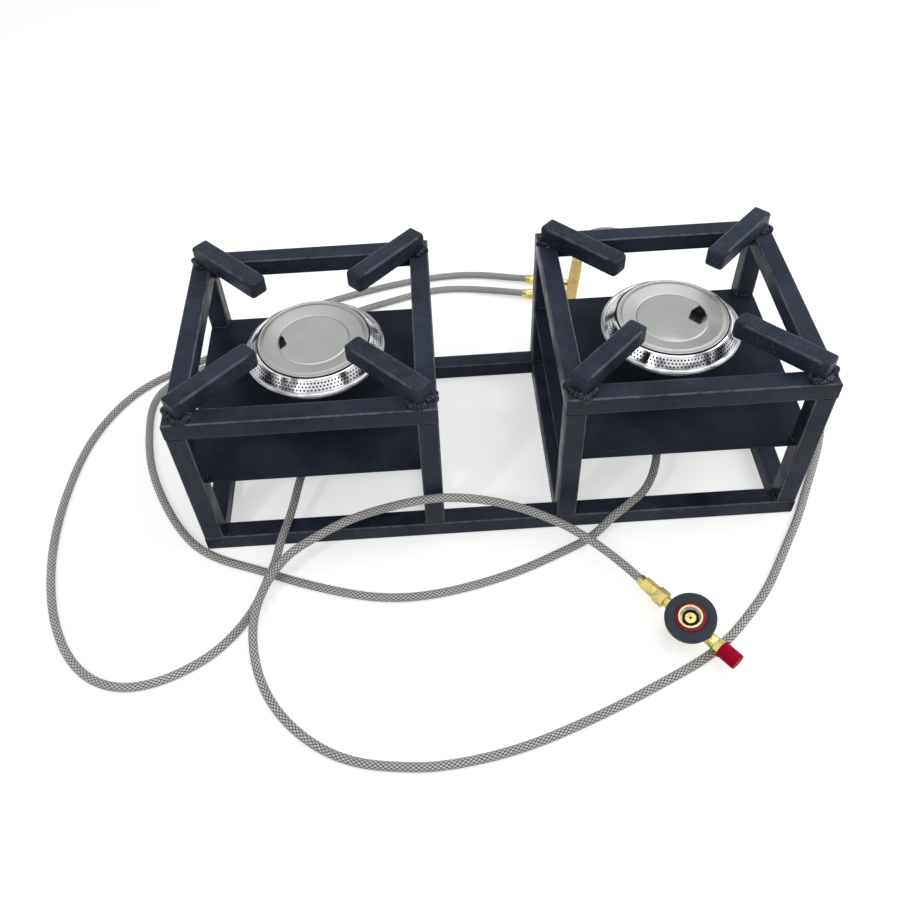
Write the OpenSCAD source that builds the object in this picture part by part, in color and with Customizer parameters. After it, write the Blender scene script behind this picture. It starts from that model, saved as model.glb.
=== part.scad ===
// Two-burner propane stand: two welded cube frames on one base, each with a shelf,
// a round burner and four pot supports, fed through braided hoses from one regulator.
// Millimetres. X runs along the stand, -Y is its front, Z is up, and the origin is on the
// floor under the middle of the frame.

/* [Frame] */
// Outside width of the square steel tube
tube = 25; // [20:1:30]
// Wall of the square steel tube
tube_wall = 1.6; // [1.2:0.1:3]
// Length of the base rails
base_len = 774; // [720:1:900]
// Width of each cube frame along the stand
box_w = 314; // [290:1:330]
// Depth of the stand, front to back
box_d = 316; // [290:1:340]
// Height of the top frame's upper face above the floor
frame_h = 242; // [225:1:300]
// Height of the shelf's upper face above the floor
shelf_top = 130; // [124:1:136]
// Thickness of the shelf plate
shelf_t = 3; // [2:0.5:5]
// How far the shelf's front and back edges stay behind the frame's
shelf_inset = 9; // [3:1:18]

/* [Pot supports] */
// Side of the square support bars
bar = 25; // [18:1:28]
// Length of a support bar
bar_len = 122; // [90:1:135]
// Distance of a bar's outer end from the frame's corner, along the diagonal
bar_corner_gap = 18; // [14:1:26]

/* [Burner] */
// Height of the burner cap's rim above the shelf
burner_rise = 78; // [72:1:84]
// Distance of a burner's axis to the right of its cube's middle
burner_x = 4; // [0:0.5:6]
// Distance of a burner's axis behind its cube's middle
burner_y = 13; // [4:0.5:16]
// Radius of the mirror-finished cap
cap_r = 71; // [60:1:73]
// Thickness of the cap's rim
cap_t = 2; // [1.5:0.1:3]
// Radius of the flat middle of the cap
cap_middle_r = 46; // [30:1:52]
// Depth of the cap's middle below its rim
cap_step = 1; // [0.4:0.1:1.2]
// Radius at the centre of the flame ring's rolled lip
lip_r = 86.5; // [84:0.5:95]
// Radius of the rolled lip's own section
lip_roll = 3; // [2:0.1:3.5]
// Height of the flame ring from the lip's underside to the cap
ring_h = 18; // [15:0.5:22]
// Sheet thickness of the flame ring and bowl
sheet = 1.4; // [1:0.1:2]
// Gas ports in each row of the flame ring
ports_per_row = 112; // [60:1:130]
// Diameter of a gas port
port_d = 2.2; // [1.6:0.1:2.6]
// Distance between the rows of ports, down the slope
port_row_step = 4.2; // [3.6:0.1:4.6]
// Distance of the first row of ports from the top of the slope
port_first = 2.8; // [2.2:0.1:3.4]
// Outer radius of the mixing tube
mix_r = 16; // [12:0.5:20]
// Wall of the mixing tube
mix_wall = 1.5; // [1.2:0.1:3]
// How far the mixing tube's foot hangs below the shelf's upper face
mix_drop = 64; // [56:1:68]
// How far the mixing tube stands up inside the burner's neck
mix_stand = 33; // [26:1:38]
// Width across flats of the ring nuts that clamp the mixing tube
ring_nut_af = 44; // [42:1:56]
// Thickness of a ring nut
ring_nut_t = 7; // [5:0.5:9]
// Height of the burner bowl's neck above the shelf
neck_top = 30; // [24:1:36]
// Width of an air slot in the mixing tube
air_slot_w = 8; // [5:0.5:12]
// Height of an air slot
air_slot_h = 20; // [12:1:24]

/* [Jet] */
// Radius of the jet elbow's upright body
elbow_r = 11; // [9.5:0.5:13]
// Length of the elbow's upright body
elbow_h = 22; // [20:1:24]
// Radius of the elbow's threaded boss
boss_r = 8; // [6.5:0.5:9]
// Length of the threaded boss
boss_h = 9; // [6:0.5:12]
// Radius of the brass jet
jet_r = 4.5; // [3.5:0.5:6]
// Length of the brass jet
jet_h = 10; // [8:1:14]
// Radius of the elbow's upright bore
upright_bore = 3.2; // [2.6:0.1:4]
// Orifice radius of the jet
orifice_r = 0.75; // [0.5:0.05:1]
// Direction of the left elbow's inlet, in degrees from +X
left_inlet_dir = -110; // [-125:1:-95]
// Direction of the right elbow's inlet, in degrees from +X
right_inlet_dir = -100; // [-115:1:-85]

/* [Hose ends] */
// Outer diameter of the braided hose
hose_d = 11; // [10:0.5:12]
// Radius of the gas way through every fitting
gas_r = 2.5; // [1.5:0.1:3]
// Width across flats of a swivel nut
nut_af = 19; // [18:0.5:20]
// Length of a swivel nut
nut_len = 14.5; // [12:0.5:16]
// Radius of the male thread under a swivel nut
thread_r = 7; // [6.5:0.1:7.4]
// Length of male thread under a swivel nut
thread_len = 8; // [7:0.5:10]
// Width across flats of the crimped ferrule
ferrule_af = 15; // [13:0.5:16]
// Length of the ferrule's crimped part
ferrule_len = 20; // [15:1:24]
// Length of the ferrule's round collar
collar_len = 7; // [4:0.5:9]
// Radius of the ferrule's nose
nose_r = 4.5; // [3.5:0.1:5]
// Length of the ferrule's nose
nose_len = 9; // [8.8:0.1:11]
// Distance from an elbow's upright to its hose seat
elbow_reach = 26; // [25:1:30]

/* [Manifold] */
// Side of the square brass bar
manifold_w = 17; // [15:0.5:20]
// Length of the brass bar
manifold_len = 108; // [90:1:130]
// Distance of the inlet end of the bar from its first outlet
manifold_inlet_gap = 51; // [30:1:60]
// Distance between the two outlets
outlet_step = 38; // [30:1:44]
// Turn of the manifold's long axis away from +Y, towards +X
manifold_turn = 15; // [12:1:18]
// X of the first outlet's axis where it meets the bar's axis
manifold_x = 165; // [155:1:175]
// Y of the same point
manifold_y = 330; // [320:1:340]
// Radius of the long bore in the bar
manifold_bore = 4; // [3:0.1:5]
// Radius of an outlet nipple's root
nipple_r = 5.2; // [4.5:0.1:6]
// Length of an outlet nipple's root
nipple_root = 13; // [8:1:18]
// Width across flats of an outlet nipple's hexagon
nipple_af = 17; // [15:0.5:19]
// Length of the hexagon
nipple_hex = 12; // [8:1:14]
// Length of the inlet nipple's root
inlet_root = 18; // [12:1:24]

/* [Regulator] */
// X of the regulator's middle
reg_x = 212; // [200:1:225]
// Y of the regulator's middle
reg_y = -324; // [-335:1:-315]
// Height of the regulator's through axis above the floor
reg_z = 21.5; // [21.5:0.5:24]
// Turn of the through axis away from +X
reg_turn = -53.13; // [-56:0.01:-50]
// Roll of the coupling away from the vertical, about the through axis
reg_tilt = 15; // [10:1:18]
// Radius of the regulator's round body
reg_r = 19; // [17:0.5:20]
// Height of the body's upper face above the through axis
reg_top = 9; // [9:0.5:11]
// Radius of the body's through boss
reg_boss_r = 8.6; // [8.2:0.1:8.8]
// Distance of the boss's end faces from the middle
reg_boss_len = 21; // [20:0.5:24]
// Distance from the regulator's middle to its hose seat
reg_reach = 45; // [42:1:48]
// Radius of the coupling handwheel
wheel_r = 30.5; // [27:0.5:33]
// Thickness of the handwheel
wheel_t = 9.7; // [7:0.1:12]
// Rounding of the handwheel's edges
wheel_round = 2.5; // [1:0.1:3]
// Outer radius of the red collar
collar_r = 18.5; // [17:0.1:21]
// How far the red collar stands above the handwheel
collar_proud = 1.2; // [0.4:0.1:2]
// Outer radius of the coupling nut
socket_r = 14.5; // [13.5:0.1:16]
// Wall radius of the coupling's threaded hole
socket_bore = 10.9; // [10.5:0.1:12]
// Length of the threaded wall
socket_len = 5.5; // [4:0.5:8]
// How far the coupling nut stands above the handwheel
socket_proud = 2; // [1:0.1:3]
// Thickness of the coupling nut's floor
socket_floor = 2; // [1.5:0.1:3]
// Radius of the nipple's shank
inlet_r = 5; // [4:0.1:5.5]
// Radius of the nipple's slotted head
inlet_head_r = 6.5; // [6:0.1:7.5]
// Radius of the gas way up through the nipple
inlet_bore = 1.5; // [1:0.1:2]
// Width of the slots across the nipple's head
slot_w = 1.4; // [1:0.1:2]
// Outer radius of the rubber seal
seal_r = 9.9; // [8.5:0.1:10]
// Thickness of the rubber seal
seal_t = 1.4; // [1:0.1:2]
// Radius of the bonnet
bonnet_r = 8.2; // [7.5:0.1:9]
// Length of the bonnet's round part
bonnet_len = 18; // [14:0.5:22]
// Width across flats of the bonnet's hexagon
bonnet_af = 17; // [15:0.5:18]
// Length of the bonnet's hexagon
bonnet_hex = 7; // [5:0.5:9]
// Radius of the adjusting knob
knob_r = 10; // [8:0.5:12]
// Length of the adjusting knob
knob_len = 24.2; // [18:0.1:28]
// How far the knob's rim stands out
knob_rim = 1; // [0.4:0.1:2]
// Width of the knob's rim
knob_rim_w = 3; // [2:0.5:5]
// Radius of the adjusting screw
screw_r = 4; // [3:0.1:4.5]
// Radius of the spring chamber
chamber_r = 7.4; // [6.5:0.1:7.5]
// Length of the regulating spring
spring_len = 11.8; // [9:0.1:12.2]

/* [Hidden] */
$fn = 64;
fit = 0.08;         // radial clearance of a running or slip fit
air = 0.3;          // clearance between pieces that move past each other
touch = 0.05;       // clearance between round faces that seat in each other
cut = 1;            // how far a cutting shape runs past the face that it cuts

half_l = base_len / 2;
half_d = box_d / 2;
left_x = -half_l + box_w / 2;
right_x = half_l - box_w / 2;
leg_h = frame_h - 2 * tube;
flange_r = thread_r - 0.6;                  // ferrule's seat flange inside a swivel nut
flange_t = 2;
fitting_len = nose_len + ferrule_len + collar_len;
elbow_z = shelf_top - mix_drop - elbow_h / 2;
ring_top = burner_rise - cap_t;             // heights from here on are above the shelf
lip_z = ring_top - ring_h + lip_roll;
slope_top_r = cap_r + 4.2;
slope_top_z = ring_top - 2;
slope_foot_r = lip_r - 1.7;
slope_foot_z = lip_z + 2.2;
slope_angle = atan2(slope_top_z - slope_foot_z, slope_foot_r - slope_top_r);
neck_r = mix_r + 3;
manifold_z = manifold_w / 2;
outlet_len = nipple_root + nipple_hex + thread_len + 2;
wheel_z = reg_top + air;                    // underside of what turns with the handwheel
socket_top = wheel_z + wheel_t + socket_proud;
socket_wall_z = socket_top - socket_len;
reg_drop = (reg_z - reg_r * sin(reg_tilt) - fit) / cos(reg_tilt);
bonnet_end = reg_boss_len + bonnet_len + bonnet_hex;
knob_start = bonnet_end + air;
piston_x = 2.2;
piston_t = 5;

// Routes of the three hoses, from the first point past one fitting to the last before the other
LEFT_ROUTE = [
    [-257, -74, 54], [-262, -90, 50], [-267, -107, 43], [-272, -124, 36], [-277, -141, 32],
    [-282, -159, 31], [-287, -176, 27], [-293, -198, 20], [-300, -218, 17.5], [-308, -238, 12],
    [-318, -258, 7], [-332, -281, 5.5], [-361, -314, 5.5], [-397, -337, 5.5], [-433, -350, 5.5],
    [-467, -352, 5.5], [-499, -342, 5.5], [-530, -317, 5.5], [-555, -280, 5.5], [-573, -238, 5.5],
    [-586, -190, 5.5], [-594, -137, 5.5], [-596, -80, 5.5], [-592, -20, 5.5], [-579, 46, 5.5],
    [-557, 98, 5.5], [-528, 139, 5.5], [-490, 170, 5.5], [-443, 198, 5.5], [-400, 226, 5.5],
    [-350, 262, 5.5], [-300, 296, 5.5], [-249, 322, 5.5], [-199, 340, 5.5], [-140, 357, 5.5],
    [-66, 371, 5.5], [0, 372, 5.5], [46, 362, 7], [70, 355, 8]
];
RIGHT_ROUTE = [
    [216.5, -77, 54.5], [213, -93, 50], [207, -109, 43.5], [198, -124, 37], [186, -137, 33],
    [173, -147, 32], [160, -157, 31.5], [146, -166, 28.5], [131, -175.5, 19.5], [113, -185, 10.5],
    [92, -194, 6.5], [60, -208, 5.5], [32, -220, 5.5], [-30, -240, 5.5], [-84, -251, 5.5],
    [-133, -254, 5.5], [-180, -248, 5.5], [-229, -234, 5.5], [-280, -215, 5.5], [-320, -198, 5.5],
    [-358, -183, 5.5], [-399, -158, 5.5], [-432, -119, 5.5], [-458, -74, 5.5], [-479, -26, 5.5],
    [-493, 26, 5.5], [-499, 69, 5.5], [-500, 105, 5.5], [-491, 136, 5.5], [-468, 160, 5.5],
    [-437, 180, 5.5], [-395, 203, 5.5], [-350, 226, 5.5], [-300, 250, 5.5], [-249, 273, 5.5],
    [-180, 302, 5.5], [-120, 323, 5.5], [-67, 337, 5.5], [-19, 337, 5.5], [34, 326, 7], [60, 319, 8]
];
SUPPLY_ROUTE = [
    [204, 457.5, 7.5], [220.5, 470, 6], [240.5, 474.5, 5.5], [261, 470, 5.5], [284, 460, 5.5],
    [315, 452, 5.5], [350, 448, 5.5], [396, 446, 5.5], [436, 440, 5.5], [466, 426, 5.5],
    [490, 405, 5.5], [507, 377, 5.5], [515, 340, 5.5], [515, 283, 5.5], [510, 186, 5.5],
    [502, 96, 5.5], [482, 15, 5.5], [458, -46, 5.5], [437, -87, 5.5], [414, -129, 5.5],
    [390, -172, 5.5], [366, -209, 5.5], [341, -247, 5.5], [316, -281, 5.5], [290, -309, 5.5],
    [264, -334, 5.5], [235, -356, 5.5], [207, -372, 5.5], [180, -385, 5.5], [123, -411, 5.5],
    [64, -435, 5.5], [5, -455, 5.5], [-73, -470, 5.5], [-110, -472, 5.5], [-147, -469, 5.5],
    [-181, -463, 5.5], [-213, -451, 5.5], [-244, -431, 5.5], [-271, -405, 5.5], [-292, -375, 5.5],
    [-306, -343, 7], [-313, -312, 11], [-314, -282, 17], [-308, -254, 23.5], [-296, -229, 30],
    [-275, -206, 40], [-241, -189, 52], [-199, -176, 66], [-150, -169, 79], [-101, -166, 87.5],
    [-70, -165.5, 89], [-45, -165.5, 85.5], [-4, -167, 74], [36, -173, 60], [62, -181, 51],
    [86, -192, 43], [108, -205, 35], [128, -220, 28], [142, -233, 24], [154, -246.5, 22]
];
hose_sides = 8;

// ---- frame ----

// A square tube along +X whose ends are mitred towards its outer side, y = 0
module mitred_rail(len) {
    inner = tube - tube_wall;
    difference() {
        linear_extrude(tube)
            polygon([[0, 0], [len, 0], [len - tube, tube], [tube, tube]]);
        translate([0, 0, tube_wall])
            linear_extrude(tube - 2 * tube_wall)
                polygon([
                    [tube_wall - cut, tube_wall], [len - tube_wall + cut, tube_wall],
                    [len - inner + cut, inner], [inner - cut, inner]
                ]);
    }
}

// A square tube along +X with plain ends
module plain_rail(len) {
    difference() {
        cube([len, tube, tube]);
        translate([-cut, tube_wall, tube_wall])
            cube([len + 2 * cut, tube - 2 * tube_wall, tube - 2 * tube_wall]);
    }
}

module frame_paint() {
    color([0.13, 0.15, 0.19]) children();
}

module base_rail(back) {
    frame_paint()
        rotate([0, 0, back ? 180 : 0])
            translate([-half_l, -half_d, 0])
                mitred_rail(base_len);
}

module outer_cross_rails() {
    frame_paint()
        for (turn = [90, 270])
            rotate([0, 0, turn])
                translate([-half_d, -half_l, 0])
                    mitred_rail(box_d);
}

module inner_cross_rails() {
    frame_paint()
        for (side = [-1, 1])
            translate([side * (half_l - box_w + tube / 2) + tube / 2, -half_d + tube, 0])
                rotate([0, 0, 90])
                    plain_rail(box_d - 2 * tube);
}

module leg(box_x, sx, sy) {
    frame_paint()
        translate([box_x + sx * (box_w - tube) / 2 - tube / 2, sy * (box_d - tube) / 2 - tube / 2, 0])
            translate([0, 0, tube])
                rotate([0, -90, 0])
                    mirror([0, 0, 1])
                        plain_rail(leg_h);
}

// Turn 0 is the front rail of a top frame, 90 its right, 180 its back and 270 its left
module top_rail(box_x, turn) {
    across = turn == 0 || turn == 180;
    len = across ? box_w : box_d;
    out = across ? box_d : box_w;
    frame_paint()
        translate([box_x, 0, frame_h - tube])
            rotate([0, 0, turn])
                translate([-len / 2, -out / 2, 0])
                    mitred_rail(len);
}

// The shelf reaches the outer faces of the legs and is notched round them
module shelf(box_x) {
    a = box_w / 2;
    b = half_d - shelf_inset;
    m = a - tube;
    n = half_d - tube;
    frame_paint()
        translate([box_x, 0, shelf_top - shelf_t])
            difference() {
                linear_extrude(shelf_t)
                    polygon([
                        [-a, -n], [-m, -n], [-m, -b], [m, -b], [m, -n], [a, -n],
                        [a, n], [m, n], [m, b], [-m, b], [-m, n], [-a, n]
                    ]);
                translate([burner_x, burner_y, -cut])
                    cylinder(r = mix_r + fit, h = shelf_t + 2 * cut);
            }
}

module pot_support(box_x, sx, sy) {
    corner = [box_x + sx * box_w / 2, sy * half_d, frame_h];
    frame_paint()
        translate(corner)
            rotate([0, 0, atan2(-sy, -sx)])
                translate([bar_corner_gap, -bar / 2, 0])
                    cube([bar_len, bar, bar]);
}

// ---- burners ----

module at_shelf(box_x) {
    translate([box_x + burner_x, burner_y, shelf_top]) children();
}

module hexagon_bar(af, h) {
    cylinder(d = af / cos(30), h = h, $fn = 6);
}

module burner_cap(box_x) {
    low = burner_rise - cap_step;
    color([0.80, 0.81, 0.82])
        at_shelf(box_x)
            rotate_extrude($fn = 96)
                polygon([
                    [0, ring_top], [cap_r, ring_top], [cap_r, burner_rise],
                    [cap_r - 6, burner_rise], [cap_middle_r, low], [0, low]
                ]);
}

module flame_ring(box_x) {
    color([0.74, 0.75, 0.77])
        at_shelf(box_x)
            difference() {
                rotate_extrude($fn = 96) {
                    polygon([
                        [slope_foot_r, slope_foot_z], [slope_top_r, slope_top_z],
                        [cap_r + 1.5, ring_top], [cap_r - 5, ring_top],
                        [cap_r - 5, ring_top - sheet], [cap_r + 1, ring_top - sheet],
                        [slope_top_r - sheet, slope_top_z - sheet / 2],
                        [slope_foot_r - 1.3 * sheet, slope_foot_z - sheet]
                    ]);
                    translate([lip_r, lip_z])
                        circle(r = lip_roll, $fn = 32);
                }
                flame_ports();
            }
}

// Rows of gas ports square to the slope, each row half a step round from the last
module flame_ports() {
    for (row = [0:2]) {
        down = port_first + row * port_row_step;
        for (i = [0:ports_per_row - 1])
            rotate([0, 0, 360 / ports_per_row * (i + row / 2)])
                translate([
                    slope_top_r + down * cos(slope_angle), 0,
                    slope_top_z - down * sin(slope_angle)
                ])
                    rotate([0, 90 - slope_angle, 0])
                        translate([0, 0, -3 * sheet])
                            cylinder(d = port_d, h = 6 * sheet, $fn = 16);
    }
}

module burner_bowl(box_x) {
    rim_z = lip_z - lip_roll - fit;
    rim_in = lip_r - 5;
    color([0.55, 0.56, 0.58])
        at_shelf(box_x)
            rotate_extrude($fn = 96)
                polygon([
                    [mix_r + fit, ring_nut_t], [neck_r, ring_nut_t], [neck_r, neck_top],
                    [rim_in + sheet, rim_z - sheet], [lip_r + 1, rim_z - sheet],
                    [lip_r + 1, rim_z], [rim_in, rim_z],
                    [neck_r - sheet, neck_top + 1.2 * sheet], [mix_r + fit, neck_top + 1.2 * sheet]
                ]);
}

module mixing_tube(box_x) {
    color([0.45, 0.46, 0.48])
        at_shelf(box_x)
            difference() {
                translate([0, 0, -mix_drop])
                    cylinder(r = mix_r, h = mix_drop + mix_stand);
                translate([0, 0, -mix_drop + shelf_t])
                    cylinder(r = mix_r - mix_wall, h = mix_drop + mix_stand);
                translate([0, 0, -mix_drop - cut])
                    cylinder(r = boss_r + fit, h = shelf_t + 2 * cut);
                for (turn = [0, 90])
                    rotate([0, 0, turn])
                        translate([-mix_r - cut, -air_slot_w / 2, -mix_drop + boss_h])
                            cube([2 * (mix_r + cut), air_slot_w, air_slot_h]);
            }
}

module ring_nut(box_x, z) {
    color([0.40, 0.41, 0.43])
        at_shelf(box_x)
            translate([0, 0, z])
                difference() {
                    hexagon_bar(ring_nut_af, ring_nut_t);
                    translate([0, 0, -cut])
                        cylinder(r = mix_r + fit, h = ring_nut_t + 2 * cut);
                }
}

// Brass elbow under a mixing tube: the boss goes up through its foot, the thread out to the hose
module jet_elbow(box_x, dir) {
    color([0.78, 0.62, 0.25])
        translate([box_x + burner_x, burner_y, elbow_z])
            difference() {
                union() {
                    translate([0, 0, -elbow_h / 2])
                        cylinder(r = elbow_r, h = elbow_h);
                    translate([0, 0, elbow_h / 2])
                        cylinder(r = boss_r, h = boss_h);
                    rotate([0, 0, dir])
                        rotate([0, 90, 0])
                            cylinder(r = thread_r, h = elbow_reach);
                }
                cylinder(r = upright_bore, h = elbow_h + boss_h);
                rotate([0, 0, dir])
                    rotate([0, 90, 0])
                        cylinder(r = gas_r, h = elbow_reach + cut);
            }
}

module gas_jet(box_x) {
    color([0.82, 0.66, 0.30])
        translate([box_x + burner_x, burner_y, elbow_z + elbow_h / 2 + boss_h])
            difference() {
                cylinder(r = jet_r, h = jet_h);
                translate([0, 0, -cut])
                    cylinder(r = gas_r, h = jet_h + cut - 2);
                cylinder(r = orifice_r, h = jet_h + cut);
            }
}

// ---- hose ends: +X points out along the hose and x = 0 is the seat on the male thread ----

module along_x(from, r, len) {
    translate([from, 0, 0])
        rotate([0, 90, 0])
            cylinder(r = r, h = len);
}

module hex_along_x(from, af, len) {
    translate([from, 0, 0])
        rotate([0, 90, 0])
            hexagon_bar(af, len);
}

module ferrule() {
    color([0.80, 0.64, 0.26])
        difference() {
            union() {
                along_x(0, flange_r, flange_t);
                along_x(0, nose_r, nose_len);
                hex_along_x(nose_len, ferrule_af, ferrule_len);
                along_x(nose_len + ferrule_len, thread_r, collar_len);
            }
            along_x(-cut, gas_r, fitting_len + 2 * cut);
        }
}

module swivel_nut() {
    step = flange_t + 0.5;
    back = nose_len - 0.5 - nut_len;
    color([0.76, 0.60, 0.24])
        difference() {
            hex_along_x(back, nut_af, nut_len);
            along_x(back - cut, thread_r + fit, step - back + cut);
            along_x(step - cut, nose_r + fit, nut_len);
        }
}

module male_stub(from, len) {
    difference() {
        along_x(from, thread_r, len);
        along_x(from - cut, gas_r, len + 2 * cut);
    }
}

// Where each hose end sits, as [seat position, direction out along the hose]
function heading(a) = [cos(a), sin(a), 0];
function elbow_at(box_x) = [box_x + burner_x, burner_y, elbow_z];
man_dir = 90 - manifold_turn;
man_origin = [manifold_x, manifold_y, manifold_z];
reg_origin = [reg_x, reg_y, reg_z];
SEATS = [
    [elbow_at(left_x) + elbow_reach * heading(left_inlet_dir), left_inlet_dir],
    [elbow_at(right_x) + elbow_reach * heading(right_inlet_dir), right_inlet_dir],
    [man_origin + (manifold_w / 2 + outlet_len) * heading(man_dir + 90), man_dir + 90],
    [man_origin - outlet_step * heading(man_dir)
        + (manifold_w / 2 + outlet_len) * heading(man_dir + 90), man_dir + 90],
    [man_origin + (manifold_inlet_gap + inlet_root + thread_len) * heading(man_dir), man_dir],
    [reg_origin - reg_reach * heading(reg_turn), reg_turn + 180]
];
function hose_end(i) = SEATS[i][0] + fitting_len * heading(SEATS[i][1]);

module at_seat(i) {
    translate(SEATS[i][0])
        rotate([0, 0, SEATS[i][1]])
            children();
}

// ---- hoses: a tube swept along its route, square to its fittings at both ends ----

function unit(v) = v / norm(v);
function route_dir(p, i) = unit(p[i + 1] - p[i - 1]);
function ring_points(c, d, r) =
    let (side = unit(cross(d, [0, 0, 1])), up = cross(side, d))
    [for (k = [0:hose_sides - 1])
        let (a = 360 / hose_sides * (k + 0.5))
        c + r * (cos(a) * side + sin(a) * up)];

module swept_hose(first, route, last) {
    p = concat([hose_end(first)], route, [hose_end(last)]);
    n = len(p);
    dirs = [for (i = [0:n - 1])
        i == 0 ? heading(SEATS[first][1]) : i == n - 1 ? -heading(SEATS[last][1]) : route_dir(p, i)];
    points = [for (i = [0:n - 1]) each ring_points(p[i], dirs[i], hose_d / 2)];
    sides = [for (i = [0:n - 2]) for (k = [0:hose_sides - 1])
        let (j = (k + 1) % hose_sides, a = i * hose_sides, b = a + hose_sides)
        each [[a + k, b + j, b + k], [a + k, a + j, b + j]]];
    start = [for (k = [1:hose_sides - 2]) [0, k + 1, k]];
    base = (n - 1) * hose_sides;
    end = [for (k = [1:hose_sides - 2]) [base, base + k, base + k + 1]];
    color([0.66, 0.67, 0.68])
        polyhedron(points, concat(sides, start, end));
}

// ---- manifold ----

module at_manifold() {
    translate(man_origin) rotate([0, 0, man_dir]) children();
}

module manifold_bar() {
    back = manifold_inlet_gap - manifold_len;
    color([0.74, 0.62, 0.34])
        at_manifold()
            difference() {
                translate([back, -manifold_w / 2, -manifold_w / 2])
                    cube([manifold_len, manifold_w, manifold_w]);
                along_x(-outlet_step - manifold_bore, manifold_bore, manifold_len);
                for (x = [0, -outlet_step])
                    translate([x, 0, 0])
                        rotate([-90, 0, 0])
                            cylinder(r = gas_r, h = manifold_w);
            }
}

module outlet_nipple() {
    color([0.80, 0.66, 0.32])
        difference() {
            union() {
                along_x(0, nipple_r, nipple_root);
                hex_along_x(nipple_root, nipple_af, nipple_hex);
                along_x(nipple_root, thread_r, outlet_len - nipple_root);
            }
            along_x(-cut, gas_r, outlet_len + 2 * cut);
        }
}

module manifold_nipples() {
    at_manifold() {
        for (x = [0, -outlet_step])
            translate([x, manifold_w / 2, 0])
                rotate([0, 0, 90])
                    outlet_nipple();
        translate([manifold_inlet_gap, 0, 0])
            color([0.80, 0.66, 0.32])
                difference() {
                    union() {
                        along_x(0, nipple_r, inlet_root);
                        along_x(inlet_root, thread_r, thread_len);
                    }
                    along_x(-cut, gas_r, inlet_root + thread_len + 2 * cut);
                }
    }
}

// ---- regulator: X is the through axis to the knob, Z the coupling's axis ----

module at_regulator() {
    translate(reg_origin)
        rotate([0, 0, reg_turn])
            rotate([reg_tilt, 0, 0])
                children();
}

module regulator_body() {
    color([0.78, 0.62, 0.26])
        at_regulator()
            difference() {
                union() {
                    translate([0, 0, -reg_drop])
                        cylinder(r = reg_r, h = reg_drop + reg_top);
                    along_x(-reg_boss_len, reg_boss_r, 2 * reg_boss_len);
                }
                along_x(piston_x - fit, chamber_r, reg_boss_len);
                along_x(-reg_boss_len - cut, gas_r, reg_boss_len + cut);
                cylinder(r = inlet_bore, h = reg_top + cut);
            }
}

module regulator_outlet() {
    color([0.80, 0.64, 0.26])
        at_regulator()
            male_stub(-reg_reach, reg_reach - reg_boss_len);
}

module regulator_bonnet() {
    color([0.79, 0.63, 0.25])
        at_regulator()
            difference() {
                union() {
                    along_x(reg_boss_len, bonnet_r, bonnet_len - 1.5);
                    along_x(reg_boss_len, bonnet_r - 1, bonnet_len);
                    hex_along_x(bonnet_end - bonnet_hex, bonnet_af, bonnet_hex);
                }
                along_x(reg_boss_len - cut, screw_r + fit, bonnet_len + bonnet_hex + 2 * cut);
            }
}

module adjusting_knob() {
    rim = knob_r + knob_rim;
    color([0.68, 0.02, 0.14])
        at_regulator()
            translate([knob_start, 0, 0])
                rotate([0, 90, 0])
                    rotate_extrude()
                        polygon(concat(
                            [[screw_r + touch, 0], [rim - 1, 0], [rim, 1], [rim, knob_rim_w - 1],
                             [knob_r, knob_rim_w]],
                            [for (a = [0:15:90])
                                [knob_r - 2 + 2 * cos(a), knob_len - 2 + 2 * sin(a)]],
                            [[0, knob_len], [0, knob_len / 2], [screw_r + touch, knob_len / 2]]));
}

module adjusting_screw() {
    start = piston_x + piston_t + spring_len + air;
    color([0.70, 0.71, 0.72])
        at_regulator() {
            along_x(start, screw_r, knob_start + knob_len / 2 - start);
        }
}

module regulating_spring() {
    color([0.60, 0.61, 0.62])
        at_regulator()
            difference() {
                along_x(piston_x + piston_t + touch, chamber_r - air, spring_len);
                along_x(piston_x, screw_r, spring_len + piston_t + 2 * cut);
            }
}

module regulating_piston() {
    color([0.78, 0.70, 0.45])
        at_regulator()
            along_x(piston_x, chamber_r - fit, piston_t);
}

module coupling_handwheel() {
    r = wheel_round;
    top = wheel_z + wheel_t;
    color([0.22, 0.25, 0.31])
        at_regulator()
            rotate_extrude($fn = 96)
                polygon(concat(
                    [[collar_r + touch, wheel_z]],
                    [for (a = [-90:15:0]) [wheel_r - r + r * cos(a), wheel_z + r + r * sin(a)]],
                    [for (a = [0:15:90]) [wheel_r - r + r * cos(a), top - r + r * sin(a)]],
                    [[collar_r + touch, top]]));
}

module coupling_nut() {
    relief = socket_bore - 0.7;
    color([0.85, 0.68, 0.42])
        at_regulator()
            rotate_extrude()
                polygon([
                    [inlet_r + fit, wheel_z], [socket_r, wheel_z], [socket_r, socket_top],
                    [socket_bore, socket_top], [socket_bore, socket_wall_z],
                    [relief, socket_wall_z], [relief, wheel_z + socket_floor],
                    [inlet_r + fit, wheel_z + socket_floor]
                ]);
}

module coupling_collar() {
    top = wheel_z + wheel_t + collar_proud;
    color([0.55, 0.07, 0.14])
        at_regulator()
            rotate_extrude()
                polygon([
                    [socket_r + touch, wheel_z], [collar_r, wheel_z], [collar_r, top - 1],
                    [collar_r - 1, top], [socket_r + touch, top]
                ]);
}

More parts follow.
